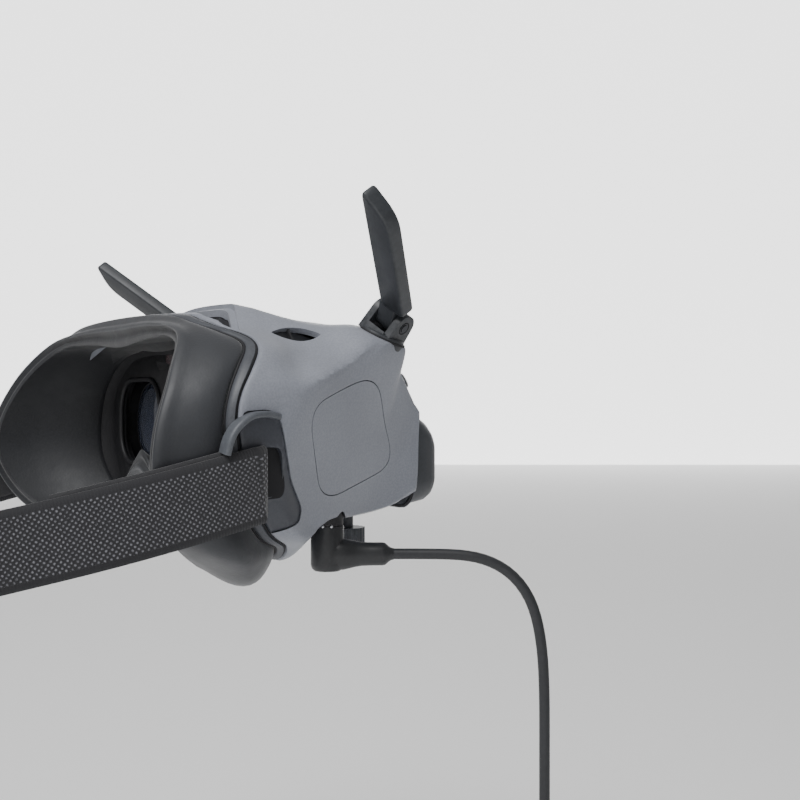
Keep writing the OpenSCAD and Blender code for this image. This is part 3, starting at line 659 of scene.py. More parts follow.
def neck_pull(p, inset):
    """Draws the shoulder up to the ring that the antenna turret stands on."""
    side = -1 if p.x > 0 else 1
    rel = Vector((p.x * side, p.y, p.z)) - (HINGE - NECK_DROP * TURRET_DIR)
    up = rel.dot(TURRET_DIR)
    out = (rel - up * TURRET_DIR).length
    flare = 6 + 3 * clamp(rel.y / 8, -1, 1)
    pull = math.exp(-2.2 * (max(0.0, out - NECK_R) / flare) ** 2) * smooth(-24, -11, up)
    moved = TURRET_DIR * (-inset - up) * pull
    return p + Vector((moved.x * side, moved.y, moved.z))


def shell_at(y, angle, inset=0.0):
    """A point of the shell's outside at a depth, seen from its middle line at an angle."""
    c, s = math.cos(angle), math.sin(angle)
    half = table_value(HALF_W, y) - inset
    height = table_value(TOP_Z if s >= 0 else LOW_Z, y) - inset
    power = table_value(TOP_POWER if s >= 0 else LOW_POWER, y)
    reach = ((abs(c) / half) ** power + (abs(s) / height) ** power) ** (-1 / power)
    if s > 0:
        shoulder = (table_value(SHOULDER, y) - inset) / (SHOULDER_SLOPE * abs(c) + s)
        reach = soft_min(reach, shoulder, 2.0)
    x, z = reach * c, reach * s
    if s > 0:
        z -= 1.6 * math.exp(-(x / 13) ** 2) * smooth(-60, -38, y)
    else:
        z += 11 * math.exp(-(x / 15) ** 2) * smooth(-62, -28, y)
    facet = -soft_min(-FACET[0] - FACET[1] * (y + 40) - FACET[2] * z, -COVER_HALF - 1.6, 3.0) - inset
    return neck_pull(Vector((math.copysign(soft_min(abs(x), facet, 1.7), x), y, z)), inset)


def cover_ring(y, half_w, z0, z1, radius):
    """A rounded rectangle taken at the shell's own angles, so that both can be joined."""
    mid = (z0 + z1) / 2
    points = []
    for angle in ANGLES:
        c, s = math.cos(angle), math.sin(angle)
        w, h = half_w, (z1 - z0) / 2
        reach = min(w / max(abs(c), 1e-9), h / max(abs(s), 1e-9))
        kx, kz = w - radius, h - radius
        if abs(reach * c) > kx and abs(reach * s) > kz:
            ux, uz = math.copysign(kx, c), math.copysign(kz, s)
            b = c * ux + s * uz
            reach = b + math.sqrt(max(b * b - ux * ux - uz * uz + radius * radius, 0))
        points.append(Vector((reach * c, y, reach * s + mid)))
    return points


def shell_rings(inset=0.0):
    """Rings from the rear seam to the front rim, round its edge and in to the cover."""
    edge = loop_ring(ring_foot, 0.5 - inset, -0.5)
    rings = []
    for k, t in enumerate([0, 0.004, 0.012, 0.03] + [0.05 + 0.0108 * n for n in range(89)]):
        ring = []
        for angle, rim in zip(ANGLES, edge):
            y = rim.y + (FACE_Y - rim.y) * t
            body = shell_at(y, angle, inset)
            gone = rim.y - y
            crown = smooth(0, 0.05, math.sin(angle) - 0.375 - 0.19 * clamp(gone / 9))
            near = (1 - smooth(0, 16, gone)) * (1 - crown) + (1 - clamp(gone / 10.5)) * crown
            p = body.lerp(Vector((rim.x, y, rim.z)), near)
            tuck = (0.9, 0.25, 0.0, 0.0)[k] if k < 4 else 0.0
            r = math.hypot(p.x, p.z)
            ring.append(Vector((p.x * (1 - tuck / r), p.y, p.z * (1 - tuck / r))))
        rings.append(ring)
    rim = cover_ring(FACE_Y - 0.4, COVER_HALF + 1.0 - inset, COVER_LOW - 1.0 + inset, COVER_TOP + 1.0 - inset,
                     COVER_R + 1)
    last = rings[-1]
    for t in (0.1, 0.25, 0.5, 0.8, 1.0):
        bulge = 1.2 * math.sin(math.pi * t ** 0.6) * (1 - t)
        rings.append([a.lerp(b, t) + Vector((0, -bulge, 0)) for a, b in zip(last, rim)])
    return rings


def shell_solid(name, inset):
    return lofted(name, shell_rings(inset))


PANEL_AT = (-67.3, -62, -2.5)
VENT_AT = (-61.5, -47.5, 24.8)
VENT_UP = (-0.58, -0.03, 0.81)
VENT_LONG = (-0.08, -0.98, -0.2)
VENT_HALF = (6.8, 3.3)
BUTTON_AT = (-52.5, -86.6, 12.2)
BUTTON_OUT = (-0.55, -0.7, 0.45)
BUTTON_R = 2.3
ANCHOR_CORNERS = [(-22, 4), (-30.5, 4.6), (-33.8, 2.2), (-36, -6), (-38.5, -13), (-44.5, -21),
                  (-43.5, -24.8), (-34, -27), (-22, -27.5)]


def lens_outline(half_long, half_wide, steps=14):
    """An eye shape, pointed at both ends."""
    angles = [math.pi * k / steps for k in range(steps + 1)]
    top = [(half_long * math.cos(a), half_wide * math.sin(a) ** 1.6) for a in angles]
    return top + [(x, -y) for x, y in top[-2:0:-1]]


def corner_arc(a, corner, b, steps):
    """A curve from a to b that bends round a corner."""
    return [tuple((1 - t) ** 2 * a + 2 * t * (1 - t) * corner + t * t * b)
            for t in [k / steps for k in range(steps + 1)]]


def rounded(points, steps=6, pull=0.35):
    """A polygon with its corners rounded, pull being how far along each edge a corner starts."""
    out = []
    for i in range(len(points)):
        p = Vector(points[i])
        a = p.lerp(Vector(points[i - 1]), pull)
        b = p.lerp(Vector(points[(i + 1) % len(points)]), pull)
        out += corner_arc(a, p, b, steps)
    return out


def grown(outline, width):
    """An outline drawn out from its centre."""
    centre = sum((Vector(p) for p in outline), Vector((0, 0))) / len(outline)
    return [tuple(Vector(p) + (Vector(p) - centre).normalized() * width) for p in outline]


PANEL = rounded([(-22, 7.5), (3.5, 17.3), (23.7, -9), (-9, -18.4)], 8, 0.28)
ANCHOR_OUTLINE = rounded(ANCHOR_CORNERS, 5, 0.3)
CROWN_HALF = [(0, -27.3), (36, -27.3), (47, -27.8), (55, -29.4), (60.5, -31.6), (45.5, -36.9), (0, -36.9)]
CROWN_SLOT_HALF = [(0, -28.4), (36, -28.4), (46, -28.9), (53.5, -30.4), (56.5, -31.2), (46, -34.8),
                   (0, -34.8)]
CROWN_OUTLINE, CROWN_SLOT = ([(-x, y) for x, y in half[:0:-1] if x] + half for half in
                             (CROWN_HALF, CROWN_SLOT_HALF))
panel_frame = frame_of(PANEL_AT, (0.44, -0.9, 0), FACET_OUT)
anchor_frame = Matrix(((0, 0, -1, -84), (1, 0, 0, 0), (0, 1, 0, 0), (0, 0, 0, 1)))


def build_shell():
    bm = bmesh.new()
    outer, inner = shell_rings(), shell_rings(2.0)
    skin(bm, outer + inner[::-1], close_rows=True)
    out_faces(bm)
    shell = new_piece("front_shell_skin", bm)
    cutters = []
    for side in SIDES:
        turned_over = mirrored(side)
        cutters.append(solid_prism("cut", lens_outline(*VENT_HALF), -5, 6,
                                   turned_over @ frame_of(VENT_AT, VENT_LONG, VENT_UP)))
        cutters.append(solid_prism("cut", grown(ANCHOR_OUTLINE, 0.25), -20, 6, turned_over @ anchor_frame))
        cutters.append(box_cutter("cut", (SIDES[side] * 32, -80, -28), (14, 7, 10)))
        neck = frame_of(HINGE - NECK_DROP * TURRET_DIR, (1, 0, 0), TURRET_DIR)
        cutters.append(solid_prism("cut", circle(NECK_R - 0.5, 48), -1.0, 3, turned_over @ neck))
    cutters.append(solid_prism("cut", CROWN_OUTLINE, 15, 45, Matrix.Identity(4)))
    cutters.append(solid_prism("cut", grown(PANEL, 0.3), -1.3, 4, panel_frame))
    button_frame = frame_of(BUTTON_AT, (0, 0, 1), BUTTON_OUT)
    cutters.append(solid_prism("cut", circle(BUTTON_R + 0.25), -6, 6, button_frame))
    cutters.append(solid_prism("cut", circle(5.1, 40), -6, 6, Matrix.Translation((*PLUG_AT, -28))))
    cutters.append(solid_prism("cut", circle(4.1, 40), -6, 6, Matrix.Translation((57, -50, -28))))
    cutters.append(box_cutter("cut", (46.5, -57, -28), (10.8, 5.4, 10)))
    cutters.append(box_cutter("cut", (47.5, -66, -28), (13.6, 3.6, 10)))
    carve(shell, cutters)
    return dress(shell, HOUSING, GREY, ["front_shell"], 32)


build_shell()


# ---------------------------------------------------------------- touch panel
def kept_inside(obj, inset):
    """Trims a piece to the shell's outside, sunk by inset."""
    body = shell_solid("trim", inset)
    add_modifier(obj, "BOOLEAN", operation="INTERSECT", solver="EXACT", object=body)
    apply_modifiers(obj)
    bpy.data.objects.remove(body)


panel = solid_prism("touch_panel_face", PANEL, -1.2, 4, panel_frame)
kept_inside(panel, 0.02)
dress(panel, HOUSING, GREY, ["touch_panel"], 30)


# ---------------------------------------------------------------- front cover
def cover_rings(inset=0.0):
    rows = ((-89.4, 54.0, -24.0, 4.0, 7.0), (-92.0, 53.7, -23.9, 3.6, 7.0), (-95.0, 53.0, -23.6, 2.6, 7.0),
            (-98.0, 51.8, -23.2, 0.9, 6.6), (-100.4, 50.0, -22.4, -0.9, 6.2),
            (-101.5, 48.8, -21.4, -2.0, 5.8),
            (-102.0, 47.4, -20.4, -3.2, 5.4))
    return [cover_ring(y, w - inset, z0 + inset, z1 - inset, r) for y, w, z0, z1, r in rows]


cover = lofted("front_cover", cover_rings())
face_line = rounded_outline(40, -18.6, -5.0, 4, 8)
bm = bmesh.new()
line_rings = []
for grow, y in ((0, -101.2), (0.7, -101.2), (0.7, -103), (0, -103)):
    line_rings.append([(x * (1 + grow / 40), y, z + (grow if z > -11.8 else -grow)) for x, z in face_line])
skin(bm, line_rings, close_rows=True)
out_faces(bm)
carve(cover, [new_piece("cut", bm)] +
      [box_cutter("cut", (7 * k, -101.5, -10.5), (4, 5, 2.4)) for k in range(-5, 6)])
dress(cover, HOUSING, COVER, ["front_cap"], 28)


# ---------------------------------------------------------------- dark seams, painted shade in the grooves
def shade_seam_ring(name, ring, radius, material=None):
    """A thin dark cord lying in a seam, painted shade where the groove is."""
    n = len(ring)
    rings = []
    for k in range(n):
        along = (ring[(k + 1) % n] - ring[k - 1]).normalized()
        out = Vector((ring[k].x, 0, ring[k].z)).normalized()
        out = (out - out.dot(along) * along).normalized()
        up = along.cross(out)
        rings.append([ring[k] + radius * (math.cos(a) * out + math.sin(a) * up)
                      for a in [2 * math.pi * q / 8 for q in range(8)]])
    return dress(lofted(name, rings, closed=True), HOUSING, material or SEAM_SHADE, (), 60)


shade_seam_ring("seam_shade_shell", loop_ring(ring_foot, -0.75, 0.0), 0.5)
shade_seam_ring("seam_shade_pad", loop_ring(pad_foot, -0.75, -0.1), 0.5)
shade_seam_ring("seam_shade_cover",
          cover_ring(FACE_Y - 0.1, COVER_HALF + 0.3, COVER_LOW - 0.3, COVER_TOP + 0.3, COVER_R), 0.5)


# ---------------------------------------------------------------- rear frame
def build_band():
    a, b = loop_ring(pad_foot), loop_ring(ring_foot)
    rings = [mix(a, b, t, off, back) for t, off, back in
             ((0.0, -3.5, 0.0), (0.05, -1.0, 0.0), (0.12, -0.1, 0.0), (0.22, 0.3, 0.0), (0.5, 0.5, 0.0),
              (0.78, 0.35, 0.0), (0.88, -0.1, 0.0), (0.95, -1.0, 0.0), (1.0, -1.6, -1.0), (1.0, -2.6, -4.0),
              (1.0, -5.0, -5.0), (0.5, -6.0, 0.0))]
    return dress(lofted("rear_band", rings, closed=True), HOUSING, BAND, ["rear_frame"], 40)


build_band()


# ---------------------------------------------------------------- face pad
def build_pad():
    foot, edge, bowl = loop_ring(pad_foot), loop_ring(lip), loop_ring(bowl_foot)
    side_wall = ((0.0, -2.5), (0.02, -0.7), (0.06, 0.0), (0.1, 0.3), (0.14, 0.5), (0.19, 0.7), (0.24, 0.85),
                 (0.3, 1.0), (0.37, 1.02), (0.45, 1.0), (0.52, 0.9), (0.6, 0.75), (0.67, 0.6), (0.74, 0.45),
                 (0.8, 0.35), (0.86, 0.3), (0.94, 0.35))
    rings = [mix(foot, edge, t, off) for t, off in side_wall]
    for ring, (t, _) in zip(rings, side_wall):
        for p in ring:
            lobe = 8.8 * math.sin(math.pi * t) * (1 - smooth(-32, -14, p.z))
            r = math.hypot(p.x, p.z)
            p.x, p.z = p.x * (1 + lobe / r), p.z * (1 + lobe / r)
    rings += [mix(edge, bowl, t, off, back) for t, off, back in
              ((0.0, 0.1, 0.5), (0.0, -0.6, 0.95), (0.0, -1.4, 0.8), (0.0, -2.3, 0.0), (0.0, -3.1, -0.35),
               (0.0, -4.0, -0.1), (0.0, -4.9, 0.0), (0.0, -6.2, -0.6), (0.3, -2.8, 0.2), (0.45, -1.8, 0.6),
               (0.6, -1.0, 0.6), (0.70, -0.8, 0.2), (0.76, -1.0, -1.2), (0.80, -1.2, -2.6),
               (0.86, -1.2, -3.4),
               (0.94, -0.6, -3.0), (1.0, 0.0, -2.2), (1.0, 0.8, -4.4))]
    rings += [mix(bowl, foot, t, -4.0, -3.0) for t in (0.35, 0.7, 0.98)]
    pad = dress(lofted("face_cushion", rings, closed=True), HOUSING, PAD, ["face_pad"], 60)
    # The inner faces take the darker copy of the skin, painted shade inside the cushion.
    pad.data.materials.append(PAD_INNER_SHADE)
    for face in pad.data.polygons:
        if face.index // AROUND >= len(side_wall) + 2:
            face.material_index = 1
    return pad


build_pad()


# ---------------------------------------------------------------- bowl and eye openings
BOWL_Y = -39.4
EYE_X = 32.0


def build_bowl():
    rim = loop_ring(bowl_foot, -0.2, -2.6)
    plate = [Vector((p.x * 0.9, BOWL_Y, p.z * 0.88)) for p in rim]
    back = [Vector((p.x, BOWL_Y - 1.4, p.z)) for p in plate]
    rings = [mix(plate, rim, t, 0.0, back_by) for t, back_by in
             ((1.0, -1.2), (1.0, 0.0), (0.8, -0.3), (0.45, -0.9), (0.2, -0.6), (0.0, 0.0))]
    bowl = lofted("eye_bowl", [back] + rings)
    cutters = []
    for sign in SIDES.values():
        opening = [(x + sign * EYE_X, z) for x, z in rounded_outline(17.5, -13.5, 13.5, 10, 8)]
        bm = bmesh.new()
        prism(bm, opening, BOWL_Y - 5, BOWL_Y + 5)
        out_faces(bm)
        cutters.append(new_piece("cut", bm))
    carve(bowl, cutters)
    dress(bowl, HOUSING, BLACK, ["eye_baffle"], 40)
    for side, sign in SIDES.items():
        ring = [Vector((x + sign * EYE_X, BOWL_Y + 0.2, z))
                for x, z in rounded_outline(17.8, -13.8, 13.8, 10.3, 8)]
        rows = []
        for k in range(len(ring)):
            out = (ring[k] - Vector((sign * EYE_X, BOWL_Y + 0.2, 0))).normalized()
            rows.append([ring[k] + 0.9 * (math.cos(a) * out + math.sin(a) * Vector((0, 1, 0)))
                         for a in [2 * math.pi * q / 10 for q in range(10)]])
        dress(lofted("eye_rim_" + side, rows, closed=True), HOUSING, BLACK, (), 60)


build_bowl()


# ---------------------------------------------------------------- eyepieces
def build_eyepiece(side):
    sign = SIDES[side]
    to_rear = frame_of((sign * EYE_X, -43.0, 0), (1, 0, 0), (0, 1, 0))
    profile = [(0.05, 2.2), (3, 2.13), (6, 1.85), (9, 1.3), (11, 0.7), (12.2, 0.2), (12.4, -0.6),
               (12.2, -1.3), (8, -2.2), (0.05, -2.6)]
    dress(lathed("eyepiece_glass_" + side, profile, 64, to_rear), "lens_" + side, LENS,
          ["eyepiece_" + side], 50)


for side in SIDES:
    build_eyepiece(side)


# ---------------------------------------------------------------- antennas
BLADE_DIR = Vector((-0.635, 0.53, 0.56)).normalized()
PIN_DIR = Vector((-0.76, -0.33, -0.56))
PIN_DIR = (PIN_DIR - PIN_DIR.dot(BLADE_DIR) * BLADE_DIR).normalized()
BLADE_FROM, BLADE_TO = -1.0, 3.2        # across the blade's flat, from the pin's middle


def join(obj, others):
    for other in others:
        add_modifier(obj, "BOOLEAN", operation="UNION", solver="EXACT", object=other)
        apply_modifiers(obj)
        bpy.data.objects.remove(other)


def soften(obj, width, angle=40):
    add_modifier(obj, "BEVEL", width=width * MM, segments=3, limit_method="ANGLE",
                 angle_limit=math.radians(angle))
    apply_modifiers(obj)


def filleted(corners, steps=5):
    """A polygon of (x, y, radius) corners, each one rounded."""
    out = []
    for i, (x, y, reach) in enumerate(corners):
        p = Vector((x, y))
        before, after = Vector(corners[i - 1][:2]), Vector(corners[(i + 1) % len(corners)][:2])
        a = p + (before - p).normalized() * reach
        b = p + (after - p).normalized() * reach
        out += corner_arc(a, p, b, steps)
    return out


def shade_hoop(name, radius, height, tube, transform, body=HOUSING):
    """A thin dark ring round the frame's Z, painted shade in the seam there."""
    rows = [[transform @ Vector(((radius + tube * math.cos(b)) * math.cos(a),
                                 (radius + tube * math.cos(b)) * math.sin(a), height + tube * math.sin(b)))
             for b in [2 * math.pi * q / 8 for q in range(8)]]
            for a in [2 * math.pi * k / 56 for k in range(56)]]
    return dress(lofted(name, rows, closed=True), body, SEAM_SHADE, (), 60)


def build_turret(side):
    over = mirrored(side)
    stand = frame_of(HINGE, (1, 0, 0), TURRET_DIR)
    stem = [(5.4, -8.4), (6.1, -7.9), (6.25, -7.1), (6.3, -5.4), (6.15, -4.7), (5.6, -4.3)]
    turret = lathed("antenna_turret_body_" + side, stem, 56, transform=over @ stand)
    across = frame_of(HINGE, TURRET_DIR, PIN_DIR)
    ears = []
    for near, far in ((3.15, 5.2), (-5.2, -3.15)):
        top = [(3.8 * math.cos(a), 3.8 * math.sin(a)) for a in
               [math.radians(-85 + 170 * k / 16) for k in range(17)]]
        ears.append(solid_prism("ear", top + [(-6.2, 4.6), (-6.2, -4.6)], near, far, over @ across))
    join(turret, ears)
    sill = solid_prism("sill", [(-5.6, 4.3), (-5.6, 5.1), (-3.2, 5.0), (-3.6, 4.3)], -3.4, 3.4, over @ across)
    rear_sill = solid_prism("sill", [(-5.6, -4.3), (-3.6, -4.3), (-3.2, -5.0), (-5.6, -5.1)], -3.4, 3.4,
                            over @ across)
    join(turret, [sill, rear_sill])
    soften(turret, 0.4)
    dress(turret, HOUSING, BLADE, ["antenna_turret_" + side], 35)
    shade_hoop("seam_shade_turret_" + side, 6.4, -5.5, 0.35, over @ stand)
    shade_hoop("pin_shade_ring_" + side, 1.75, 5.15, 0.22, over @ across)


def build_blade(side):
    over = mirrored(side)
    lie = frame_of(HINGE, BLADE_DIR, BLADE_DIR.cross(PIN_DIR))
    outline = filleted([(6.0, -2.3, 1.6), (6.0, 6.7, 2.0), (43.6, 6.7, 5.0), (50.2, -2.3, 3.0)])
    blade = solid_prism("antenna_blade_body_" + side, outline, BLADE_FROM, BLADE_TO, over @ lie)
    soften(blade, 0.75, 50)
    across = frame_of(HINGE, BLADE_DIR, PIN_DIR)
    knuckle = [(3.1 * math.cos(a), 3.1 * math.sin(a)) for a in
               [math.radians(45 + 270 * k / 24) for k in range(25)]] + [(7.5, -2.6), (7.5, 0.4)]
    root = solid_prism("root", knuckle, -2.85, 2.85, over @ across)
    soften(root, 0.3, 50)
    join(blade, [root])
    dress(blade, "antenna_" + side, BLADE, ["antenna_blade_" + side], 35)


for side in SIDES:
    build_turret(side)
    build_blade(side)


# ---------------------------------------------------------------- crown's air inlet and eye-shaped vents
crown = solid_prism("crown_frame", CROWN_OUTLINE, 16, 45, Matrix.Identity(4))
kept_inside(crown, 1.2)
carve(crown, [shell_solid("cut", 3.2), solid_prism("cut", CROWN_SLOT, 15, 46, Matrix.Identity(4))])
dress(crown, HOUSING, GREY, ["top_vent"], 30)
grille = solid_prism("crown_grille", grown(CROWN_SLOT, 0.3), 16, 45, Matrix.Identity(4))
kept_inside(grille, 3.4)
carve(grille, [shell_solid("cut", 5.5)] +
      [box_cutter("cut", (5.8 * (k - 7), -31.5, 34), (4.0, 4.6, 16)) for k in range(15)])
dress(grille, HOUSING, BLACK, (), 30)


def build_vent(side):
    over = mirrored(side) @ frame_of(VENT_AT, VENT_LONG, VENT_UP)
    half_long, half_wide = VENT_HALF
    opening = lens_outline(half_long - 0.1, half_wide - 0.1)
    plate = solid_prism("vent_grille_" + side, opening, -2.6, -1.5, over)
    dress(plate, HOUSING, MESH, ["vent_mesh_" + side], 30)
    rib_outline = [(-1.6, -3.2), (-1.0, -3.2), (-1.0, 3.2), (-1.6, 3.2)]
    rib = solid_prism("vent_rib_" + side, rib_outline, -1.6, -0.5, over)
    dress(rib, HOUSING, BLACK, (), 30)


# ---------------------------------------------------------------- strap anchors
SLOT_OUTLINE = rounded([(-28.6, -4.6), (-34.6, -4.8), (-36.2, -17), (-29, -17.4)], 6, 0.3)
TAB_PATH = [(-78.6, -33, 3.0), (-79.4, -29, 3.6), (-80.6, -24.6, 3.0), (-81.5, -21, 0.8),
            (-81.7, -18.8, -2.2), (-81.2, -17.9, -6.0)]


def build_anchor(side):
    over = mirrored(side)
    plate = solid_prism("strap_anchor_plate_" + side, ANCHOR_OUTLINE, -20, 6, over @ anchor_frame)
    kept_inside(plate, 0.5)
    carve(plate, [shell_solid("cut", 4.5), solid_prism("cut", SLOT_OUTLINE, -20, 8, over @ anchor_frame)])
    soften(plate, 0.35, 60)
    dress(plate, HOUSING, ANCHOR, ["strap_anchor_" + side], 35)
    # A near-black plate deep in the strap slot: painted shade in the recess.
    recess_shade = solid_prism("anchor_recess_shade_" + side, grown(SLOT_OUTLINE, 0.6), -8.6, -7.2, over @ anchor_frame)
    dress(recess_shade, HOUSING, SEAM_SHADE, (), 35)
    line = open_curve(TAB_PATH, 8)
    rings = []
    for k, place in enumerate(line):
        along = (line[min(k + 1, len(line) - 1)] - line[max(k - 1, 0)]).normalized()
        inward = Vector((1, 0, 0))
        inward = (inward - inward.dot(along) * along).normalized()
        normal = along.cross(inward)
        rings.append([place + 2.2 * a * inward + 0.85 * b * normal for a, b in
                      ((-1, -0.4), (-0.85, -0.9), (-0.5, -1), (1, -1), (1, 1), (-0.5, 1), (-0.85, 0.9),
                       (-1, 0.4))])
    dress(lofted("anchor_tab_" + side, rings, over), HOUSING, TAB, (), 50)


# ---------------------------------------------------------------- head strap
STRAP_T = 2.0
FOLD_T = 1.6
STRAP_HALF = [(-80.5, -31, -13), (-81.5, -20, -15.5), (-80.4, -5, -19), (-76.8, 12, -23), (-71.5, 30, -27),
              (-66, 52, -31.5), (-60, 76, -36), (-52, 100, -40), (-40, 122, -43), (-22, 137, -45),
              (0, 142, -45.5)]


def ribbon(name, line, width, thickness, transform=None):
    """A flat band with soft edges along a line, its UVs in millimetres along and across it."""
    places = [k / 10 for k in range(-10, 11)]
    loop = [(v, 1) for v in places] + [(v, -1) for v in reversed(places)]
    rings, travelled, uvs = [], 0.0, []
    for k, place in enumerate(line):
        along = (line[min(k + 1, len(line) - 1)] - line[max(k - 1, 0)]).normalized()
        out = Vector((-along.y, along.x, 0)).normalized()
        up = out.cross(along)
        travelled += (place - line[max(k - 1, 0)]).length
        ring = []
        for v, face in loop:
            edge = math.sqrt(max(0.0, 1 - abs(v) ** 14))
            ring.append(place + up * (v * width / 2) + out * (face * thickness / 2 * (0.25 + 0.75 * edge)))
            uvs.append((travelled, v * width / 2))
        rings.append(ring)
    bm = bmesh.new()
    rows = skin(bm, rings, cap_first=True, cap_last=True)
    at = {v: uv for v, uv in zip([v for row in rows for v in row], uvs)}
    layer = bm.loops.layers.uv.new("weave")
    for face in bm.faces:
        for corner in face.loops:
            corner[layer].uv = at[corner.vert]
    out_faces(bm)
    return new_piece(name, bm, transform)


half_line = open_curve([(-80.9, -27.6, -13.8)] + STRAP_HALF[1:], 8)
wrap = [Vector(p) for p in ((-78.2, -24.5, -14.2), (-78.0, -27.0, -13.8), (-78.7, -28.8, -13.6),
                            (-79.8, -28.9, -13.6))]
right_line = wrap + half_line
strap_line = right_line + [Vector((-p.x, p.y, p.z)) for p in reversed(right_line[:-1])]
dress(ribbon("head_strap", strap_line, STRAP_W, STRAP_T), HOUSING, STRAP, ["strap"], 50)


def build_fold(side):
    """The end of the strap, turned back inside it."""
    line = []
    for k in range(8, 8 * 3 + 5):
        along = (half_line[k + 1] - half_line[k - 1]).normalized()
        inward = Vector((along.y, -along.x, 0)).normalized()
        line.append(half_line[k] + inward * ((STRAP_T + FOLD_T) / 2 + 0.1) + Vector((0, 0, 1.4)))
    fold = ribbon("strap_return_" + side, line, STRAP_W - 1, FOLD_T, mirrored(side))
    dress(fold, HOUSING, HOOK, ["strap_fold_" + side], 50)


# ---------------------------------------------------------------- link button and power lead's ends
button = bmesh.new()
turned(button, [(BUTTON_R, -2.4), (BUTTON_R, 1.2), (2.15, 1.6), (1.7, 1.85), (0.9, 1.95), (0.05, 1.97)], 40,
       frame_of(BUTTON_AT, (0, 0, 1), BUTTON_OUT))
out_faces(button)
dress(new_piece("link_button_cap", button), "button", COVER, ["link_button"], 40)


def build_plug():
    post = [(4.5, PLUG_TOP), (4.6, PLUG_TOP - 0.4), (4.6, -38.2), (4.3, -39.4), (3.6, -40), (0.05, -40)]
    plug = lathed("power_plug_body", post, 56, Matrix.Translation((*PLUG_AT, 0)))
    along = frame_of((*PLUG_AT, LEG_Z), (0, 0, 1), LEG_DIR)
    leg = [(4.2, -1), (4.4, 3.2), (4.35, 4.4), (4.05, 5.8), (3.6, 7.6), (3.3, 9.4), (3.2, 12.5), (3.2, 15.2),
           (3.05, 16.0), (2.2, 17.0), (1.75, 17.7), (1.55, 18.4)]
    join(plug, [lathed("leg", leg, 48, along)])
    carve(plug, [solid_prism("cut", circle(2.8, 40), -41, -20, Matrix.Translation((*PLUG_AT, 2.4)))])
    dress(plug, HOUSING, PLUG, ["plug_body"], 40)
    for sign in (-1, 1):
        bm = bmesh.new()
        at = Vector((*PLUG_AT, PLUG_TOP + 0.1)) + Vector((-3.6, 2.1, 0)) + sign * Vector((-0.6, -1, 0))
        bmesh.ops.create_uvsphere(bm, u_segments=12, v_segments=8, radius=0.5, matrix=Matrix.Translation(at))
        dress(new_piece("plug_stud_" + ("a" if sign < 0 else "b"), bm), HOUSING, STEEL, (), 60)
    return plug


def rounded_box(name, centre, size, radius, transform=None):
    w, d, h = size
    outline = [(x, y) for x, y in rounded_outline(w / 2, -d / 2, d / 2, radius, 6)]
    place = (transform or Matrix.Identity(4)) @ Matrix.Translation(centre)
    box = solid_prism(name, outline, -h / 2, h / 2, place)
    soften(box, 0.5, 60)
    return box


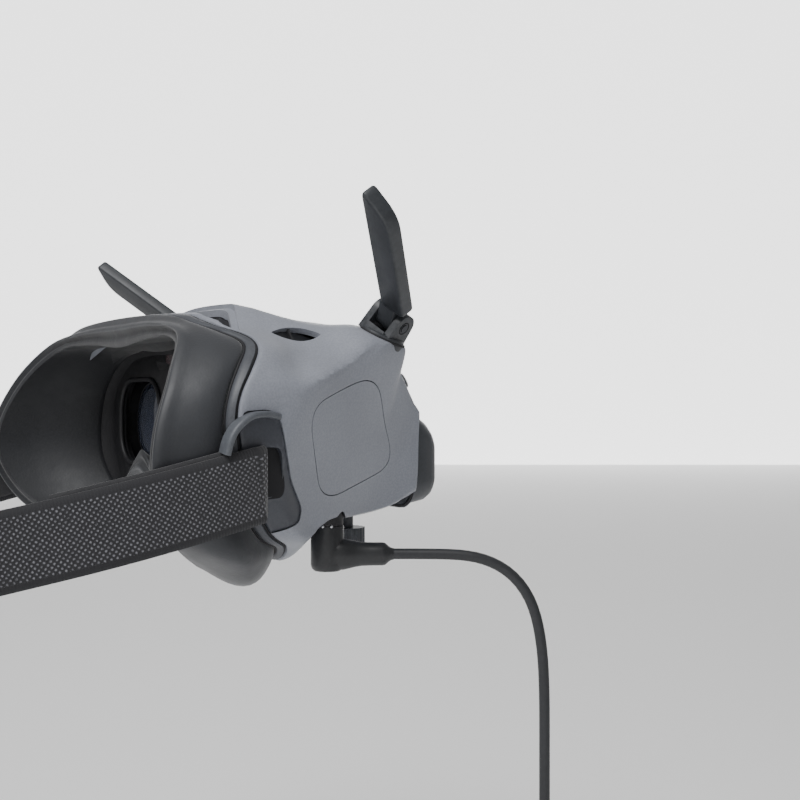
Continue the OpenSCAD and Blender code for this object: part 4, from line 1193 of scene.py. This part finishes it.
def build_far_end():
    stand = Matrix.Translation(FAR_TOP)
    relief = [(1.7, -0.2), (2.6, -0.8), (2.6, -3), (2.3, -3.4), (2.6, -3.8), (2.6, -7.6), (3.2, -8.4),
              (3.2, -14.6), (3.5, -15.4), (3.6, -17)]
    plug = lathed("far_plug_body", relief, 40, stand)
    rows = []
    for z, w, d in ((-16, 7, 7), (-18.5, 8.6, 7.4), (-21.5, 11.2, 8.2), (-24.5, 13.8, 8.8), (-27, 15, 9),
                    (-46.4, 15, 9), (-47, 14, 8)):
        rows.append([FAR_TOP + Vector((x, y, z)) for x, y in rounded_outline(w / 2, -d / 2, d / 2, 2.6, 6)])
    join(plug, [lofted("shroud", rows)])
    latch = rounded_box("latch", (0, -5.6, -34), (8, 1.6, 22), 0.6, stand)
    join(plug, [latch, rounded_box("bridge", (0, -4.8, -28), (7.6, 2.4, 3), 0.6, stand)])
    carve(plug, [box_cutter("cut", FAR_TOP + Vector((0, 0, -44.2)), (11, 5.4, 10.4))])
    dress(plug, HOUSING, PLUG, ["far_plug"], 40)
    ring = frame_of(Vector(COIL_AT) + Vector((0, 0, COIL_R)), LEG_DIR, (0, 0, 1))
    bm = bmesh.new()
    rows = []
    for x, grow in ((-2.5, 0), (2.5, 0), (2.5, 0.9), (-2.5, 0.9)):
        edge = 4.7 + grow
        rows.append([ring @ Vector((x, y, z)) for y, z in rounded_outline(edge, -edge, edge, 2 + grow, 6)])
    skin(bm, rows, close_rows=True)
    out_faces(bm)
    tie = dress(new_piece("cord_tie_band", bm), HOUSING, HOOK, ["cord_tie"], 40)
    return plug, tie


for side in SIDES:
    build_vent(side)
    build_anchor(side)
    build_fold(side)
build_plug()
far_plug, cord_band = build_far_end()


# ---------------------------------------------------------------- floor and light
FLOOR_Z = -0.2065


def area_light(name, at, towards, size, watts, colour=(1, 1, 1)):
    data = bpy.data.lights.new(name, "AREA")
    data.shape = "RECTANGLE"
    data.size, data.size_y = size
    data.energy = watts
    data.color = colour
    lamp = bpy.data.objects.new(name, data)
    lamp.location = Vector(at)
    lamp.rotation_euler = (Vector(towards) - Vector(at)).to_track_quat("-Z", "Y").to_euler()
    bpy.context.collection.objects.link(lamp)


def build_floor():
    bm = bmesh.new()
    bmesh.ops.create_grid(bm, x_segments=1, y_segments=1, size=4000)
    floor = new_piece("floor", bm, Matrix.Translation((0, 0, FLOOR_Z / MM)))
    m = Nodes("floor_white")
    m.set(Base_Color=(0.93, 0.93, 0.93, 1), Roughness=0.6)
    floor.data.materials.append(m.material)


def build_backdrop():
    bm = bmesh.new()
    bmesh.ops.create_grid(bm, x_segments=1, y_segments=1, size=1900)
    towards = Vector(CAMERA_TOWARDS)
    backdrop = new_piece("backdrop", bm, frame_of(Vector(CAMERA_AT) + 4000 * towards, (0, 0, 1), -towards))
    m = Nodes("backdrop_white")
    m.set(Base_Color=(0.9, 0.9, 0.9, 1), Emission_Color=(1, 1, 1, 1), Emission_Strength=2.2)
    backdrop.data.materials.append(m.material)


build_floor()
build_backdrop()
world = bpy.data.worlds.new("studio")
world.use_nodes = True
world.node_tree.nodes["Background"].inputs["Color"].default_value = (1.0, 1.0, 1.0, 1)
world.node_tree.nodes["Background"].inputs["Strength"].default_value = 0.33
bpy.context.scene.world = world
area_light("key", (-0.35, 0.75, 1.25), (0, -0.03, 0), (0.9, 0.9), 26)
area_light("fill", (-1.1, 0.7, 0.3), (0, -0.03, 0), (1.0, 1.0), 1.5)
